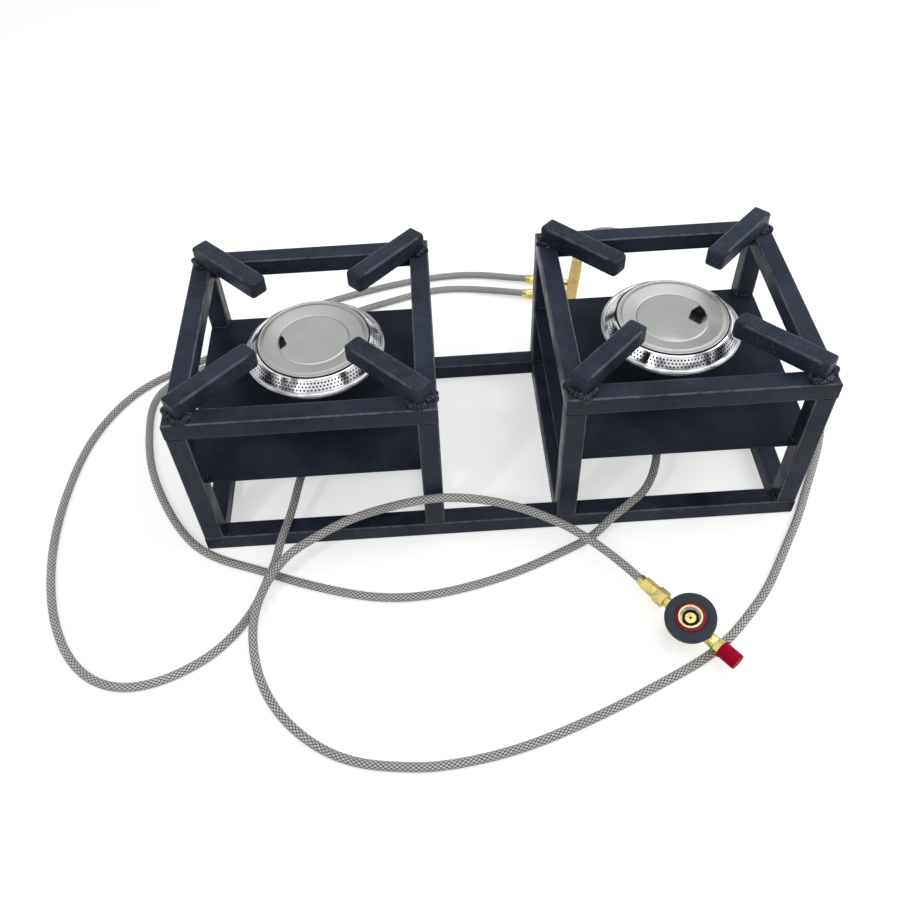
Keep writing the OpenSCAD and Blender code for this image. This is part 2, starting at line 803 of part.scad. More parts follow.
module inlet_nipple() {
    head_z = wheel_z + socket_floor + air;
    tip = socket_wall_z - fit;
    color([0.85, 0.70, 0.34])
        at_regulator()
            difference() {
                union() {
                    translate([0, 0, reg_top])
                        cylinder(r = inlet_r, h = head_z - reg_top + 1);
                    translate([0, 0, head_z])
                        cylinder(r = inlet_head_r, h = tip - head_z);
                }
                translate([0, 0, reg_top - cut])
                    cylinder(r = inlet_bore, h = tip);
                for (turn = [30, 120])
                    rotate([0, 0, turn])
                        translate([-inlet_head_r - cut, -slot_w / 2, tip - 1])
                            cube([2 * (inlet_head_r + cut), slot_w, 2]);
            }
}

module inlet_seal() {
    color([0.05, 0.05, 0.05])
        at_regulator()
            translate([0, 0, wheel_z + socket_floor + air])
                difference() {
                    cylinder(r = seal_r, h = seal_t);
                    translate([0, 0, -cut])
                        cylinder(r = inlet_head_r + touch, h = seal_t + 2 * cut);
                }
}

// ---- nodes ----

module on(name) {
    children();
}

on("base_rail_front") base_rail(false);
on("base_rail_back") base_rail(true);
on("outer_cross_rails") outer_cross_rails();
on("inner_cross_rails") inner_cross_rails();

for (box = [["left", left_x], ["right", right_x]]) {
    for (c = [["front_left", -1, -1], ["front_right", 1, -1],
              ["back_left", -1, 1], ["back_right", 1, 1]]) {
        on(str(box[0], "_leg_", c[0])) leg(box[1], c[1], c[2]);
        on(str(box[0], "_support_", c[0])) pot_support(box[1], c[1], c[2]);
    }
    for (t = [["front", 0], ["right", 90], ["back", 180], ["left", 270]])
        on(str(box[0], "_top_rail_", t[0])) top_rail(box[1], t[1]);
    on(str(box[0], "_shelf")) shelf(box[1]);
    on(str(box[0], "_burner_cap")) burner_cap(box[1]);
    on(str(box[0], "_flame_ring")) flame_ring(box[1]);
    on(str(box[0], "_burner_bowl")) burner_bowl(box[1]);
    on("mixing_tubes") mixing_tube(box[1]);
    on("tube_ring_nuts")
        for (z = [0, -shelf_t - ring_nut_t]) ring_nut(box[1], z);
    on("gas_jets") gas_jet(box[1]);
}
on("jet_elbows") {
    jet_elbow(left_x, left_inlet_dir);
    jet_elbow(right_x, right_inlet_dir);
}

on("hose_ferrules") for (i = [0:5]) at_seat(i) ferrule();
on("swivel_nuts") for (i = [0:5]) at_seat(i) swivel_nut();
on("left_hose") swept_hose(0, LEFT_ROUTE, 2);
on("right_hose") swept_hose(1, RIGHT_ROUTE, 3);
on("supply_hose") swept_hose(4, SUPPLY_ROUTE, 5);
on("manifold_bar") manifold_bar();
on("manifold_nipples") manifold_nipples();

on("regulator_body") regulator_body();
on("regulator_outlet") regulator_outlet();
on("regulator_bonnet") regulator_bonnet();
on("adjusting_knob") adjusting_knob();
on("adjusting_screw") adjusting_screw();
on("regulating_spring") regulating_spring();
on("regulating_piston") regulating_piston();
on("coupling_handwheel") coupling_handwheel();
on("coupling_nut") coupling_nut();
on("coupling_collar") coupling_collar();
on("inlet_nipple") inlet_nipple();
on("inlet_seal") inlet_seal();
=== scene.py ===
"""Finish and fine detail of the two-burner propane stand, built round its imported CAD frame."""
import math
import random

import bpy
import numpy as np
from mathutils import Matrix, Vector


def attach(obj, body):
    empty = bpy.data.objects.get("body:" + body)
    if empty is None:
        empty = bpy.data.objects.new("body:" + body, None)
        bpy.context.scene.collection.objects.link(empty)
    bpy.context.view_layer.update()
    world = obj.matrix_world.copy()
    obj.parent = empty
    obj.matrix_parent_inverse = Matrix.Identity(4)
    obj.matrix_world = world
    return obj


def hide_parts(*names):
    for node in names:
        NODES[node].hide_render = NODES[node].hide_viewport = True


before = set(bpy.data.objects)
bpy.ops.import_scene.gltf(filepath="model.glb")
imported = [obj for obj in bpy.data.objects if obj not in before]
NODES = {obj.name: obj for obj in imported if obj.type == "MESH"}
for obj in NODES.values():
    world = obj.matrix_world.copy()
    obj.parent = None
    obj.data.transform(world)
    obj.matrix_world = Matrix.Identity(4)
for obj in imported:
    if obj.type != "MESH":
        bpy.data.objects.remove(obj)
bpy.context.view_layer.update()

MM = 0.001

# Sizes in millimetres, as the CAD has them
TUBE = 25.0
HALF_L, HALF_D = 387.0, 158.0
BOX_W = 314.0
FRAME_H = 242.0
SHELF_TOP = 130.0
BAR = 25.0
BAR_LEN = 122.0
BAR_GAP = 18.0
BOXES = {"left": -230.0, "right": 230.0}
BURNER_X = 4.0                       # a burner's axis from its cube's middle
BURNER_Y = 13.0
HOSE_D = 11.0
BRAID_ROUND = 8.0                    # bundles of the hoses' braid that wind each way
BRAID_STEP = 6.0                     # length of hose in which one bundle gives way to the next
REG_AT = Vector((212.0, -324.0, 21.5))
REG_TURN, REG_TILT = math.radians(-53.13), math.radians(15.0)


# ---------------------------------------------------------------- camera

def add_camera():
    data = bpy.data.cameras.new("camera")
    data.lens = 36.786
    data.sensor_width = 36.0
    data.clip_start = 0.01
    data.clip_end = 50.0
    cam = bpy.data.objects.new("camera", data)
    right = (0.99795926, -0.05448192, -0.03330207)
    up = (0.0630171, 0.7561785, 0.65132397)
    ahead = (0.01030307, 0.65209339, -0.75806863)
    place = (-0.0731, -0.8686, 0.99685)
    rows = [(right[i], up[i], -ahead[i], place[i]) for i in range(3)]
    cam.matrix_world = Matrix((*rows, (0, 0, 0, 1)))
    bpy.context.scene.collection.objects.link(cam)
    bpy.context.scene.camera = cam


add_camera()


# ---------------------------------------------------------------- meshes

def add_piece(name, verts, faces, material, body="stand", replaces=(), wear=None,
              uvs=None, sharp=None):
    """A smooth-shaded mesh from points in millimetres, riding on its body."""
    mesh = bpy.data.meshes.new(name)
    mesh.from_pydata([tuple(c * MM for c in v) for v in verts], [], [tuple(f) for f in faces])
    mesh.shade_smooth()
    if sharp is not None:
        mesh.set_sharp_from_angle(angle=math.radians(sharp))
    if wear is not None:
        layer = mesh.color_attributes.new("wear", "FLOAT_COLOR", "POINT")
        flat = np.ones((len(verts), 4), np.float32)
        flat[:, :3] = np.array(wear, np.float32)
        layer.data.foreach_set("color", flat.ravel())
    if uvs is not None:
        layer = mesh.uv_layers.new(name="UVMap")
        layer.data.foreach_set("uv", np.array(uvs, np.float32).ravel())
    mesh.update()
    obj = bpy.data.objects.new(name, mesh)
    bpy.context.scene.collection.objects.link(obj)
    mesh.materials.append(material)
    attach(obj, body)
    if replaces:
        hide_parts(*replaces)
    return obj


def lathe_mesh(profile, steps, place, closed=False):
    """Points and faces of (radius, height) pairs turned about place's Z."""
    verts, faces = [], []
    n = len(profile)
    for k in range(steps):
        a = 2 * math.pi * k / steps
        for r, z in profile:
            verts.append(place @ Vector((r * math.cos(a), r * math.sin(a), z)))
    for k in range(steps):
        a, b = k * n, (k + 1) % steps * n
        for i in range(n if closed else n - 1):
            j = (i + 1) % n
            faces.append((a + i, b + i, b + j, a + j))
    return verts, faces


def flipped(faces):
    """The same faces, seen from their other side."""
    return [tuple(reversed(f)) for f in faces]


NEARLY_STRAIGHT = math.radians(88)   # half the angle at a corner that needs no rounding


def rounded(points, radii, parts):
    """A polyline with its inner corners rounded, by one radius each, for lathe profiles."""
    out = [points[0]]
    for i in range(1, len(points) - 1):
        p, q, s = (np.array(points[j], float) for j in (i - 1, i, i + 1))
        r, before, after = radii[i - 1], np.linalg.norm(p - q), np.linalg.norm(s - q)
        a, b = (p - q) / before, (s - q) / after
        half = math.acos(float(np.clip(a @ b, -1, 1))) / 2
        if r <= 0 or half > NEARLY_STRAIGHT:
            out.append(tuple(q))
            continue
        back = min(r / math.tan(half), 0.45 * before, 0.45 * after)
        first, last = q + a * back, q + b * back
        for k in range(parts + 1):
            t = k / parts
            out.append(tuple((1 - t) ** 2 * first + 2 * t * (1 - t) * q + t * t * last))
    out.append(points[-1])
    return out


def smooth_line(points, spacing, start_dir, end_dir):
    """Points along a smooth curve through the given ones, leaving and arriving straight."""
    p = np.array(points, float)
    t = np.concatenate([[0], np.cumsum(np.linalg.norm(np.diff(p, axis=0), axis=1))])
    n, h = len(p), np.diff(t)
    m = np.zeros((n, n))
    rhs = np.zeros((n, 3))
    m[0, 0] = m[-1, -1] = 1
    rhs[0], rhs[-1] = np.array(start_dir, float), np.array(end_dir, float)
    for i in range(1, n - 1):
        m[i, i - 1], m[i, i], m[i, i + 1] = 1 / h[i - 1], 2 * (1 / h[i - 1] + 1 / h[i]), 1 / h[i]
        rhs[i] = 3 * ((p[i] - p[i - 1]) / h[i - 1] ** 2 + (p[i + 1] - p[i]) / h[i] ** 2)
    d = np.linalg.solve(m, rhs)
    out = []
    for s in np.linspace(0, t[-1], max(2, int(t[-1] / spacing))):
        i = min(int(np.searchsorted(t, s, "right")) - 1, n - 2)
        u = (s - t[i]) / h[i]
        out.append((2 * u**3 - 3 * u**2 + 1) * p[i] + (u**3 - 2 * u**2 + u) * h[i] * d[i]
                   + (3 * u**2 - 2 * u**3) * p[i + 1] + (u**3 - u**2) * h[i] * d[i + 1])
    return np.array(out)


def tube_along(line, radius, sides):
    """Points, faces and UVs of a round tube; U runs round it and V along it in millimetres."""
    line = np.array(line)
    d = np.gradient(line, axis=0)
    d /= np.linalg.norm(d, axis=1)[:, None]
    side = np.cross(d[0], (0, 0, 1.0))
    side /= np.linalg.norm(side)
    verts, faces, uvs = [], [], []
    run = np.concatenate([[0], np.cumsum(np.linalg.norm(np.diff(line, axis=0), axis=1))])
    for i in range(len(line)):
        side = side - d[i] * (side @ d[i])
        side /= np.linalg.norm(side)
        up = np.cross(side, d[i])
        for k in range(sides):
            a = 2 * math.pi * k / sides
            verts.append(line[i] + radius * (math.cos(a) * side + math.sin(a) * up))
    for i in range(len(line) - 1):
        for k in range(sides):
            j = (k + 1) % sides
            faces.append((i * sides + k, (i + 1) * sides + k, (i + 1) * sides + j, i * sides + j))
            u0, u1 = k / sides, (k + 1) / sides
            v0, v1 = run[i], run[i + 1]
            uvs += [(u0, v0), (u0, v1), (u1, v1), (u1, v0)]
    return verts, faces, uvs, float(run[-1])


# ---------------------------------------------------------------- finishes

class Graph:
    """Short hand for the nodes of one material or node group."""

    def __init__(self, tree):
        self.tree = tree

    def add(self, kind, ins=None, **settings):
        n = self.tree.nodes.new("ShaderNode" + kind)
        for key, value in settings.items():
            setattr(n, key, value)
        for key, value in (ins or {}).items():
            if isinstance(value, bpy.types.NodeSocket):
                self.tree.links.new(value, n.inputs[key])
            else:
                n.inputs[key].default_value = value
        return n

    def math(self, operation, a, b=0.0, clamp=False):
        return self.add("Math", {0: a, 1: b}, operation=operation, use_clamp=clamp).outputs[0]

    def mix(self, mask, a, b):
        return self.add("Mix", {0: mask, 6: a, 7: b}, data_type="RGBA").outputs[2]

    def between(self, value, low, high, to_low=0.0, to_high=1.0):
        return self.add("MapRange", {0: value, 1: low, 2: high, 3: to_low, 4: to_high},
                        interpolation_type="SMOOTHSTEP").outputs[0]

    def noise(self, vector, scale, detail=3.0, rough=0.55, distortion=0.0):
        return self.add("TexNoise", {"Vector": vector, "Scale": scale, "Detail": detail,
                                     "Roughness": rough, "Distortion": distortion}).outputs[0]

    def here(self, stretch=None):
        """Where on the piece a point is, in metres, stretched if asked."""
        v = self.add("TexCoord").outputs["Object"]
        if stretch:
            v = self.add("Mapping", {0: v, 3: stretch}).outputs[0]
        return v

    def wear(self, channel):
        """0 for how rubbed an edge is, 1 for how near a weld is."""
        painted = self.add("Attribute", attribute_name="wear").outputs[0]
        return self.add("SeparateColor", {0: painted}).outputs[channel]

    def use(self, group, **values):
        """The outputs of a node group, placed with its own values."""
        n = self.tree.nodes.new("ShaderNodeGroup")
        n.node_tree = group
        for key, value in values.items():
            key = key.replace("_", " ").capitalize()
            if isinstance(value, bpy.types.NodeSocket):
                self.tree.links.new(value, n.inputs[key])
            else:
                n.inputs[key].default_value = value
        return n.outputs


def new_group(name, inputs, outputs):
    """An empty node group with its named inputs and outputs."""
    tree = bpy.data.node_groups.new(name, "ShaderNodeTree")
    for label, value in inputs.items():
        s = tree.interface.new_socket(name=label, in_out="INPUT", socket_type="NodeSocketFloat")
        s.default_value = value
    for label in outputs:
        tree.interface.new_socket(name=label, in_out="OUTPUT", socket_type="NodeSocketFloat")
    g = Graph(tree)
    return g, tree.nodes.new("NodeGroupInput").outputs, tree.nodes.new("NodeGroupOutput")


def patches_group():
    """Soft-edged patches of dust, tarnish or scorched paint over a share of the surface."""
    g, given, out = new_group("patches", {"Scale": 20.0, "Cover": 0.4, "Soft": 0.15}, ["Mask"])
    where = g.here()
    coarse = g.noise(where, given["Scale"], 4.0, 0.6, 0.4)
    fine = g.noise(where, g.math("MULTIPLY", given["Scale"], 9.0), 3.0, 0.7)
    both = g.math("ADD", g.math("MULTIPLY", coarse, 0.75), g.math("MULTIPLY", fine, 0.25))
    edge = g.math("SUBTRACT", 0.78, g.math("MULTIPLY", given["Cover"], 0.55))
    low, high = g.math("SUBTRACT", edge, given["Soft"]), g.math("ADD", edge, given["Soft"])
    g.tree.links.new(g.between(both, low, high), out.inputs["Mask"])
    return g.tree


def fine_grain_group():
    """The tooth of a cast, moulded, drawn or sprayed surface, and its slow unevenness."""
    g, given, out = new_group("fine_grain", {"Scale": 600.0, "Waviness": 18.0},
                              ["Height", "Mottle"])
    where = g.here()
    tooth = g.noise(where, given["Scale"], 2.0, 0.6)
    wave = g.noise(where, given["Waviness"], 2.0, 0.5)
    height = g.math("ADD", g.math("MULTIPLY", tooth, 0.35), g.math("MULTIPLY", wave, 0.65))
    g.tree.links.new(height, out.inputs["Height"])
    g.tree.links.new(g.between(wave, 0.3, 0.7), out.inputs["Mottle"])
    return g.tree


def edge_wear_group():
    """Where a piece's edges are rubbed, from the first channel of its wear attribute."""
    g, given, out = new_group("edge_wear", {"Amount": 0.5, "Scale": 90.0}, ["Mask"])
    broken = g.noise(g.here(), given["Scale"], 5.0, 0.7, 0.3)
    reach = g.math("ADD", g.math("MULTIPLY", g.wear(0), 0.62), g.math("MULTIPLY", broken, 0.55))
    mask = g.math("MULTIPLY", g.between(reach, 0.72, 0.98), given["Amount"], clamp=True)
    g.tree.links.new(mask, out.inputs["Mask"])
    return g.tree


def scratches_group():
    """Thin rubbed lines in the three directions that tools and pots drag."""
    g, given, out = new_group("scratches", {"Density": 0.4, "Scale": 30.0}, ["Mask"])
    lines = None
    for stretch in ((1, 14, 14), (14, 1, 14), (14, 14, 1)):
        streak = g.noise(g.here(stretch), given["Scale"], 2.0, 0.5)
        thin = g.between(streak, 0.62, 0.72)
        lines = thin if lines is None else g.math("MAXIMUM", lines, thin)
    gaps = g.between(g.noise(g.here(), 12.0, 2.0), 0.45, 0.65)
    broken = g.math("MULTIPLY", lines, gaps)
    g.tree.links.new(g.math("MULTIPLY", broken, given["Density"], clamp=True), out.inputs["Mask"])
    return g.tree


PATCHES = patches_group()
FINE_GRAIN = fine_grain_group()
EDGE_WEAR = edge_wear_group()
SCRATCHES = scratches_group()


def new_finish(name, **plain):
    """A material with its Principled shader and the sockets that stay the same all over."""
    mat = bpy.data.materials.new(name)
    mat.use_nodes = True
    shader = mat.node_tree.nodes["Principled BSDF"]
    for key, value in plain.items():
        shader.inputs[key.replace("_", " ").title().replace("Ior", "IOR")].default_value = value
    return mat, Graph(mat.node_tree), shader


def join(g, shader, color, roughness, height, strength, distance):
    """Feeds a finish's colour, roughness and relief to its shader."""
    bump = g.add("Bump", {"Strength": strength, "Distance": distance, "Height": height})
    for value, socket in ((color, "Base Color"), (roughness, "Roughness"),
                          (bump.outputs[0], "Normal")):
        g.tree.links.new(value, shader.inputs[socket])


DARK_ENAMEL = (0.0105, 0.0165, 0.031)
LIGHT_ENAMEL = (0.0215, 0.0305, 0.053)


def frame_paint_finish(name, dust=0.4, flecks_and_glints=0.25, gloss=0.34, shine=0.14, scorch=0.4, rub=0.7,
                       depth=1.0, lumps=0.22):
    """Blue-black enamel brushed over steel: dusty, flecked, rubbed grey on its edges and
    dulled brown-grey round the welds. Where the light flecks are dense, as on the welds, they are
    painted highlights."""
    mat, g, shader = new_finish(name, metallic=0.0, ior=1.45, specular_ior_level=shine)
    grain = g.use(FINE_GRAIN, scale=420.0, waviness=16.0)
    dark, light = ((*(c * depth for c in shade), 1) for shade in (DARK_ENAMEL, LIGHT_ENAMEL))
    color = g.mix(grain["Mottle"], dark, light)
    dusty = g.use(PATCHES, scale=14.0, cover=0.42, soft=0.16)["Mask"]
    color = g.mix(g.math("MULTIPLY", dusty, dust), color, (0.050, 0.058, 0.078, 1))
    smear = g.use(PATCHES, scale=60.0, cover=0.75, soft=0.2)["Mask"]
    tint = g.math("MULTIPLY", g.math("MULTIPLY", g.wear(1), smear), scorch)
    color = g.mix(tint, color, (0.062, 0.056, 0.056, 1))
    # Light flecks; at a high share, as on the welds, they are painted highlights in place of
    # glints.
    fleck_and_glint = g.between(g.noise(g.here(), 760.0, 1.0), 0.60, 0.70)
    fleck_and_glint = g.math("MULTIPLY", fleck_and_glint, g.between(g.noise(g.here(), 60.0, 2.0), 0.42, 0.62))
    color = g.mix(g.math("MULTIPLY", fleck_and_glint, flecks_and_glints), color, (0.20, 0.205, 0.215, 1))
    lines = g.use(SCRATCHES, density=0.22, scale=26.0)["Mask"]
    color = g.mix(lines, color, (0.07, 0.075, 0.085, 1))
    rubbed = g.use(EDGE_WEAR, amount=rub, scale=60.0)["Mask"]
    color = g.mix(rubbed, color, (0.16, 0.18, 0.21, 1))
    rough = g.between(g.noise(g.here(), 24.0, 3.0), 0.3, 0.7, gloss * 0.8, gloss * 1.4)
    rough = g.math("ADD", rough, g.math("MULTIPLY", dusty, 0.14))
    uneven = g.math("ADD", g.math("MULTIPLY", grain["Height"], 0.5), g.noise(g.here(), 75.0, 2.0))
    join(g, shader, color, rough, uneven, lumps, 0.0012)
    return mat


def mirror_finish(name, gloss):
    """Stamped and polished stainless sheet, with a faint haze where it was wiped."""
    mat, g, shader = new_finish(name, metallic=1.0)
    haze = g.use(PATCHES, scale=26.0, cover=0.45, soft=0.25)["Mask"]
    color = g.mix(g.math("MULTIPLY", haze, 0.6), (0.385, 0.395, 0.385, 1), (0.47, 0.48, 0.465, 1))
    rough = g.between(haze, 0.0, 1.0, gloss, gloss + 0.08)
    join(g, shader, color, rough, g.noise(g.here(), 22.0, 1.0), 0.10, 0.0008)
    return mat


def pressed_ring_finish(name, dark_reflection_share, base, gloss=0.16, ripple=0.2):
    """Bright pressed stainless, rippled, with dark patches that are painted reflections."""
    mat, g, shader = new_finish(name, metallic=1.0)
    haze = g.use(PATCHES, scale=45.0, cover=0.4, soft=0.2)["Mask"]
    color = g.mix(g.math("MULTIPLY", haze, 0.35), base, (0.50, 0.51, 0.53, 1))
    # Painted reflection: dark patches standing in for the dark surroundings that the ring mirrors.
    painted_dark_reflection = g.noise(g.here(), 34.0, 1.5, 0.5, 0.5)
    painted_dark_reflection = g.math("MULTIPLY", g.between(painted_dark_reflection, 0.49, 0.62), dark_reflection_share)
    color = g.mix(painted_dark_reflection, color, (0.085, 0.09, 0.12, 1))
    rough = g.between(haze, 0.0, 1.0, gloss, gloss + 0.12)
    join(g, shader, color, rough, g.noise(g.here(), 45.0, 1.0), ripple, 0.0008)
    return mat


def soot_and_shadow_finish():
    """Matt black: a painted shadow for the dark gap under a cap's rim, and soot for the ring's
    inside.
    """
    mat, g, shader = new_finish("burner_soot_and_shadow", metallic=0.0, specular_ior_level=0.1)
    grain = g.use(FINE_GRAIN, scale=900.0, waviness=40.0)
    color = g.mix(grain["Mottle"], (0.006, 0.006, 0.007, 1), (0.018, 0.017, 0.017, 1))
    rough = g.between(grain["Mottle"], 0.0, 1.0, 0.75, 0.9)
    join(g, shader, color, rough, grain["Height"], 0.3, 0.0002)
    return mat


def dull_sheet_finish():
    """Drawn steel sheet, stained by heat, for the bowls and mixing tubes."""
    mat, g, shader = new_finish("burner_sheet", metallic=1.0)
    grain = g.use(FINE_GRAIN, scale=900.0, waviness=24.0)
    stain = g.use(PATCHES, scale=26.0, cover=0.5, soft=0.2)["Mask"]
    color = g.mix(g.math("MULTIPLY", stain, 0.6), (0.50, 0.50, 0.49, 1), (0.30, 0.28, 0.26, 1))
    rough = g.between(grain["Mottle"], 0.0, 1.0, 0.28, 0.46)
    join(g, shader, color, rough, grain["Height"], 0.2, 0.0002)
    return mat


def brass_finish(name, base, dark, gloss=0.20):
    """Machined brass with fingerprints, and dark patches that are partly tarnish and partly
    painted reflection.
    """
    mat, g, shader = new_finish(name, metallic=1.0)
    grain = g.use(FINE_GRAIN, scale=1500.0, waviness=60.0)
    stain = g.use(PATCHES, scale=90.0, cover=0.38, soft=0.18)["Mask"]
    # Dark patches: partly tarnish, partly a painted reflection of dark surroundings.
    color = g.mix(g.math("MULTIPLY", stain, 0.7), base, dark)
    rough = g.math("ADD", g.between(grain["Mottle"], 0.0, 1.0, gloss, gloss + 0.12),
                   g.math("MULTIPLY", stain, 0.12))
    join(g, shader, color, rough, grain["Height"], 0.12, 0.0001)
    return mat


def plain_steel_finish():
    """Bright drawn wire and rod."""
    mat, g, shader = new_finish("spring_steel", metallic=1.0)
    grain = g.use(FINE_GRAIN, scale=1200.0, waviness=50.0)
    color = g.mix(grain["Mottle"], (0.50, 0.51, 0.53, 1), (0.60, 0.61, 0.62, 1))
    rough = g.between(grain["Mottle"], 0.0, 1.0, 0.22, 0.34)
    join(g, shader, color, rough, grain["Height"], 0.1, 0.0001)
    return mat


def moulded_finish(name, base, dusty, gloss, tooth=700.0, depth=0.2, shine=0.22):
    """Moulded plastic with a fine tooth, slow sheen changes and a film of dust."""
    mat, g, shader = new_finish(name, metallic=0.0, ior=1.46, specular_ior_level=shine)
    grain = g.use(FINE_GRAIN, scale=tooth, waviness=55.0)
    dust = g.use(PATCHES, scale=70.0, cover=0.4, soft=0.2)["Mask"]
    color = g.mix(g.math("MULTIPLY", dust, 0.45), base, dusty)
    rough = g.math("ADD", g.between(grain["Mottle"], 0.0, 1.0, gloss, gloss + 0.12),
                   g.math("MULTIPLY", dust, 0.1))
    join(g, shader, color, rough, grain["Height"], depth, 0.0002)
    return mat


def braid_finish():
    """Stainless braid: flat bundles of wire that wind both ways and pass over and under, with
    painted shade in the gaps between them.
    """
    mat, g, shader = new_finish("hose_braid")
    uv = g.add("SeparateXYZ", {0: g.add("TexCoord").outputs["UV"]}).outputs
    round_it = g.math("MULTIPLY", uv[0], BRAID_ROUND)
    along = g.math("DIVIDE", uv[1], BRAID_STEP)
    one, other = g.math("ADD", round_it, along), g.math("SUBTRACT", round_it, along)
    both = g.math("ADD", g.math("FLOOR", one), g.math("FLOOR", other))
    over = g.math("MODULO", g.math("ABSOLUTE", both), 2.0)

    def wave(value, turns):
        return g.math("ABSOLUTE", g.math("SINE", g.math("MULTIPLY", value, turns * math.pi)))

    def bundle(across, along_it):
        crown = g.math("POWER", wave(across, 1), 0.5)
        arch = g.math("ADD", 0.2, g.math("MULTIPLY", wave(along_it, 1), 0.8))
        wires = g.math("ADD", 0.35, g.math("MULTIPLY", wave(across, 3), 0.65))
        return g.math("MULTIPLY", g.math("MULTIPLY", crown, arch), wires)

    height = g.add("Mix", {0: over, 2: bundle(one, other), 3: bundle(other, one)},
                   data_type="FLOAT").outputs[0]
    # Near-black gaps between the bundles and pale crowns: painted shade in the gaps.
    raised = g.between(height, 0.30, 0.62)
    color = g.mix(raised, (0.008, 0.008, 0.008, 1), (0.95, 0.945, 0.92, 1))
    soiled = g.use(PATCHES, scale=10.0, cover=0.5, soft=0.25)["Mask"]
    color = g.mix(g.math("MULTIPLY", soiled, 0.3), color, (0.20, 0.195, 0.185, 1))
    g.tree.links.new(g.between(height, 0.3, 0.8, 0.0, 0.25), shader.inputs["Metallic"])
    join(g, shader, color, g.between(height, 0.2, 0.8, 0.42, 0.16), height, 0.9, 0.0009)
    return mat


FRAME_PAINT = frame_paint_finish("frame_paint")
BAR_PAINT = frame_paint_finish("bar_paint", dust=0.5, flecks_and_glints=0.6, gloss=0.36, scorch=0.3,
                               rub=0.45, lumps=0.6)
# The shelf's enamel is the frame's made darker (depth 0.75): painted shade, for a shelf that lies
# under the top rails.
SHELF_PAINT = frame_paint_finish("shelf_paint", dust=0.1, flecks_and_glints=0.1, gloss=0.36, shine=0.10,
                                 depth=0.75)
# The welds' dense light flecks are painted highlights.
WELD_PAINT = frame_paint_finish("weld_paint", dust=0.1, flecks_and_glints=3.0, gloss=0.09, shine=0.2,
                                scorch=0.0, rub=0.1, depth=0.6, lumps=0.12)
MIRROR = mirror_finish("burner_mirror", 0.05)
DULLED_MIRROR = mirror_finish("burner_rim", 0.40)
# The second value is how much painted dark reflection the finish carries.
PRESSED_RING = pressed_ring_finish("burner_ring", 0.8, (0.74, 0.75, 0.77, 1))
ROLLED_LIP = pressed_ring_finish("burner_lip", 0.3, (0.62, 0.63, 0.65, 1), 0.28, 0.04)
SOOT_AND_SHADOW = soot_and_shadow_finish()
DULL_SHEET = dull_sheet_finish()
BRASS = brass_finish("fitting_brass", (0.66, 0.57, 0.21, 1), (0.20, 0.165, 0.055, 1), 0.20)
BAR_BRASS = brass_finish("manifold_brass", (0.48, 0.36, 0.14, 1), (0.26, 0.19, 0.08, 1), 0.40)
ROSE_BRASS = brass_finish("coupling_brass", (0.80, 0.57, 0.33, 1), (0.34, 0.20, 0.09, 1), 0.16)
PLAIN_STEEL = plain_steel_finish()
# A duller, darker brass for the thread inside the coupling nut: painted shade in its bore.
THREAD_BRASS = brass_finish("thread_brass", (0.42, 0.40, 0.30, 1), (0.05, 0.045, 0.03, 1), 0.18)
SLATE = moulded_finish("handwheel_slate", (0.031, 0.037, 0.053, 1), (0.062, 0.070, 0.088, 1), 0.50)
DARK_RED = moulded_finish("collar_red", (0.19, 0.002, 0.010, 1), (0.13, 0.002, 0.008, 1), 0.14,
                          shine=0.25)
CRIMSON = moulded_finish("knob_crimson", (0.40, 0.001, 0.030, 1), (0.35, 0.002, 0.026, 1), 0.40,
                         500.0, 0.1, shine=0.06)
BLACK_RUBBER = moulded_finish("seal_rubber", (0.010, 0.010, 0.010, 1), (0.03, 0.03, 0.03, 1), 0.55)
BRAID = braid_finish()


# ---------------------------------------------------------------- hoses

LEFT_ROUTE = [
    (-257, -74, 54), (-262, -90, 50), (-267, -107, 43), (-272, -124, 36), (-277, -141, 32),
    (-282, -159, 31), (-287, -176, 27), (-293, -198, 20), (-300, -218, 17.5), (-308, -238, 12),
    (-318, -258, 7), (-332, -281, 5.5), (-361, -314, 5.5), (-397, -337, 5.5), (-433, -350, 5.5),
    (-467, -352, 5.5), (-499, -342, 5.5), (-530, -317, 5.5), (-555, -280, 5.5), (-573, -238, 5.5),
    (-586, -190, 5.5), (-594, -137, 5.5), (-596, -80, 5.5), (-592, -20, 5.5), (-579, 46, 5.5),
    (-557, 98, 5.5), (-528, 139, 5.5), (-490, 170, 5.5), (-443, 198, 5.5), (-400, 226, 5.5),
    (-350, 262, 5.5), (-300, 296, 5.5), (-249, 322, 5.5), (-199, 340, 5.5), (-140, 357, 5.5),
    (-66, 371, 5.5), (0, 372, 5.5), (46, 362, 7), (70, 355, 8),
]
RIGHT_ROUTE = [
    (216.5, -77, 54.5), (213, -93, 50), (207, -109, 43.5), (198, -124, 37), (186, -137, 33),
    (173, -147, 32), (160, -157, 31.5), (146, -166, 28.5), (131, -175.5, 19.5), (113, -185, 10.5),
    (92, -194, 6.5), (60, -208, 5.5), (32, -220, 5.5), (-30, -240, 5.5), (-84, -251, 5.5),
    (-133, -254, 5.5), (-180, -248, 5.5), (-229, -234, 5.5), (-280, -215, 5.5), (-320, -198, 5.5),
    (-358, -183, 5.5), (-399, -158, 5.5), (-432, -119, 5.5), (-458, -74, 5.5), (-479, -26, 5.5),
    (-493, 26, 5.5), (-499, 69, 5.5), (-500, 105, 5.5), (-491, 136, 5.5), (-468, 160, 5.5),
    (-437, 180, 5.5), (-395, 203, 5.5), (-350, 226, 5.5), (-300, 250, 5.5), (-249, 273, 5.5),
    (-180, 302, 5.5), (-120, 323, 5.5), (-67, 337, 5.5), (-19, 337, 5.5), (34, 326, 7),
    (60, 319, 8),
]
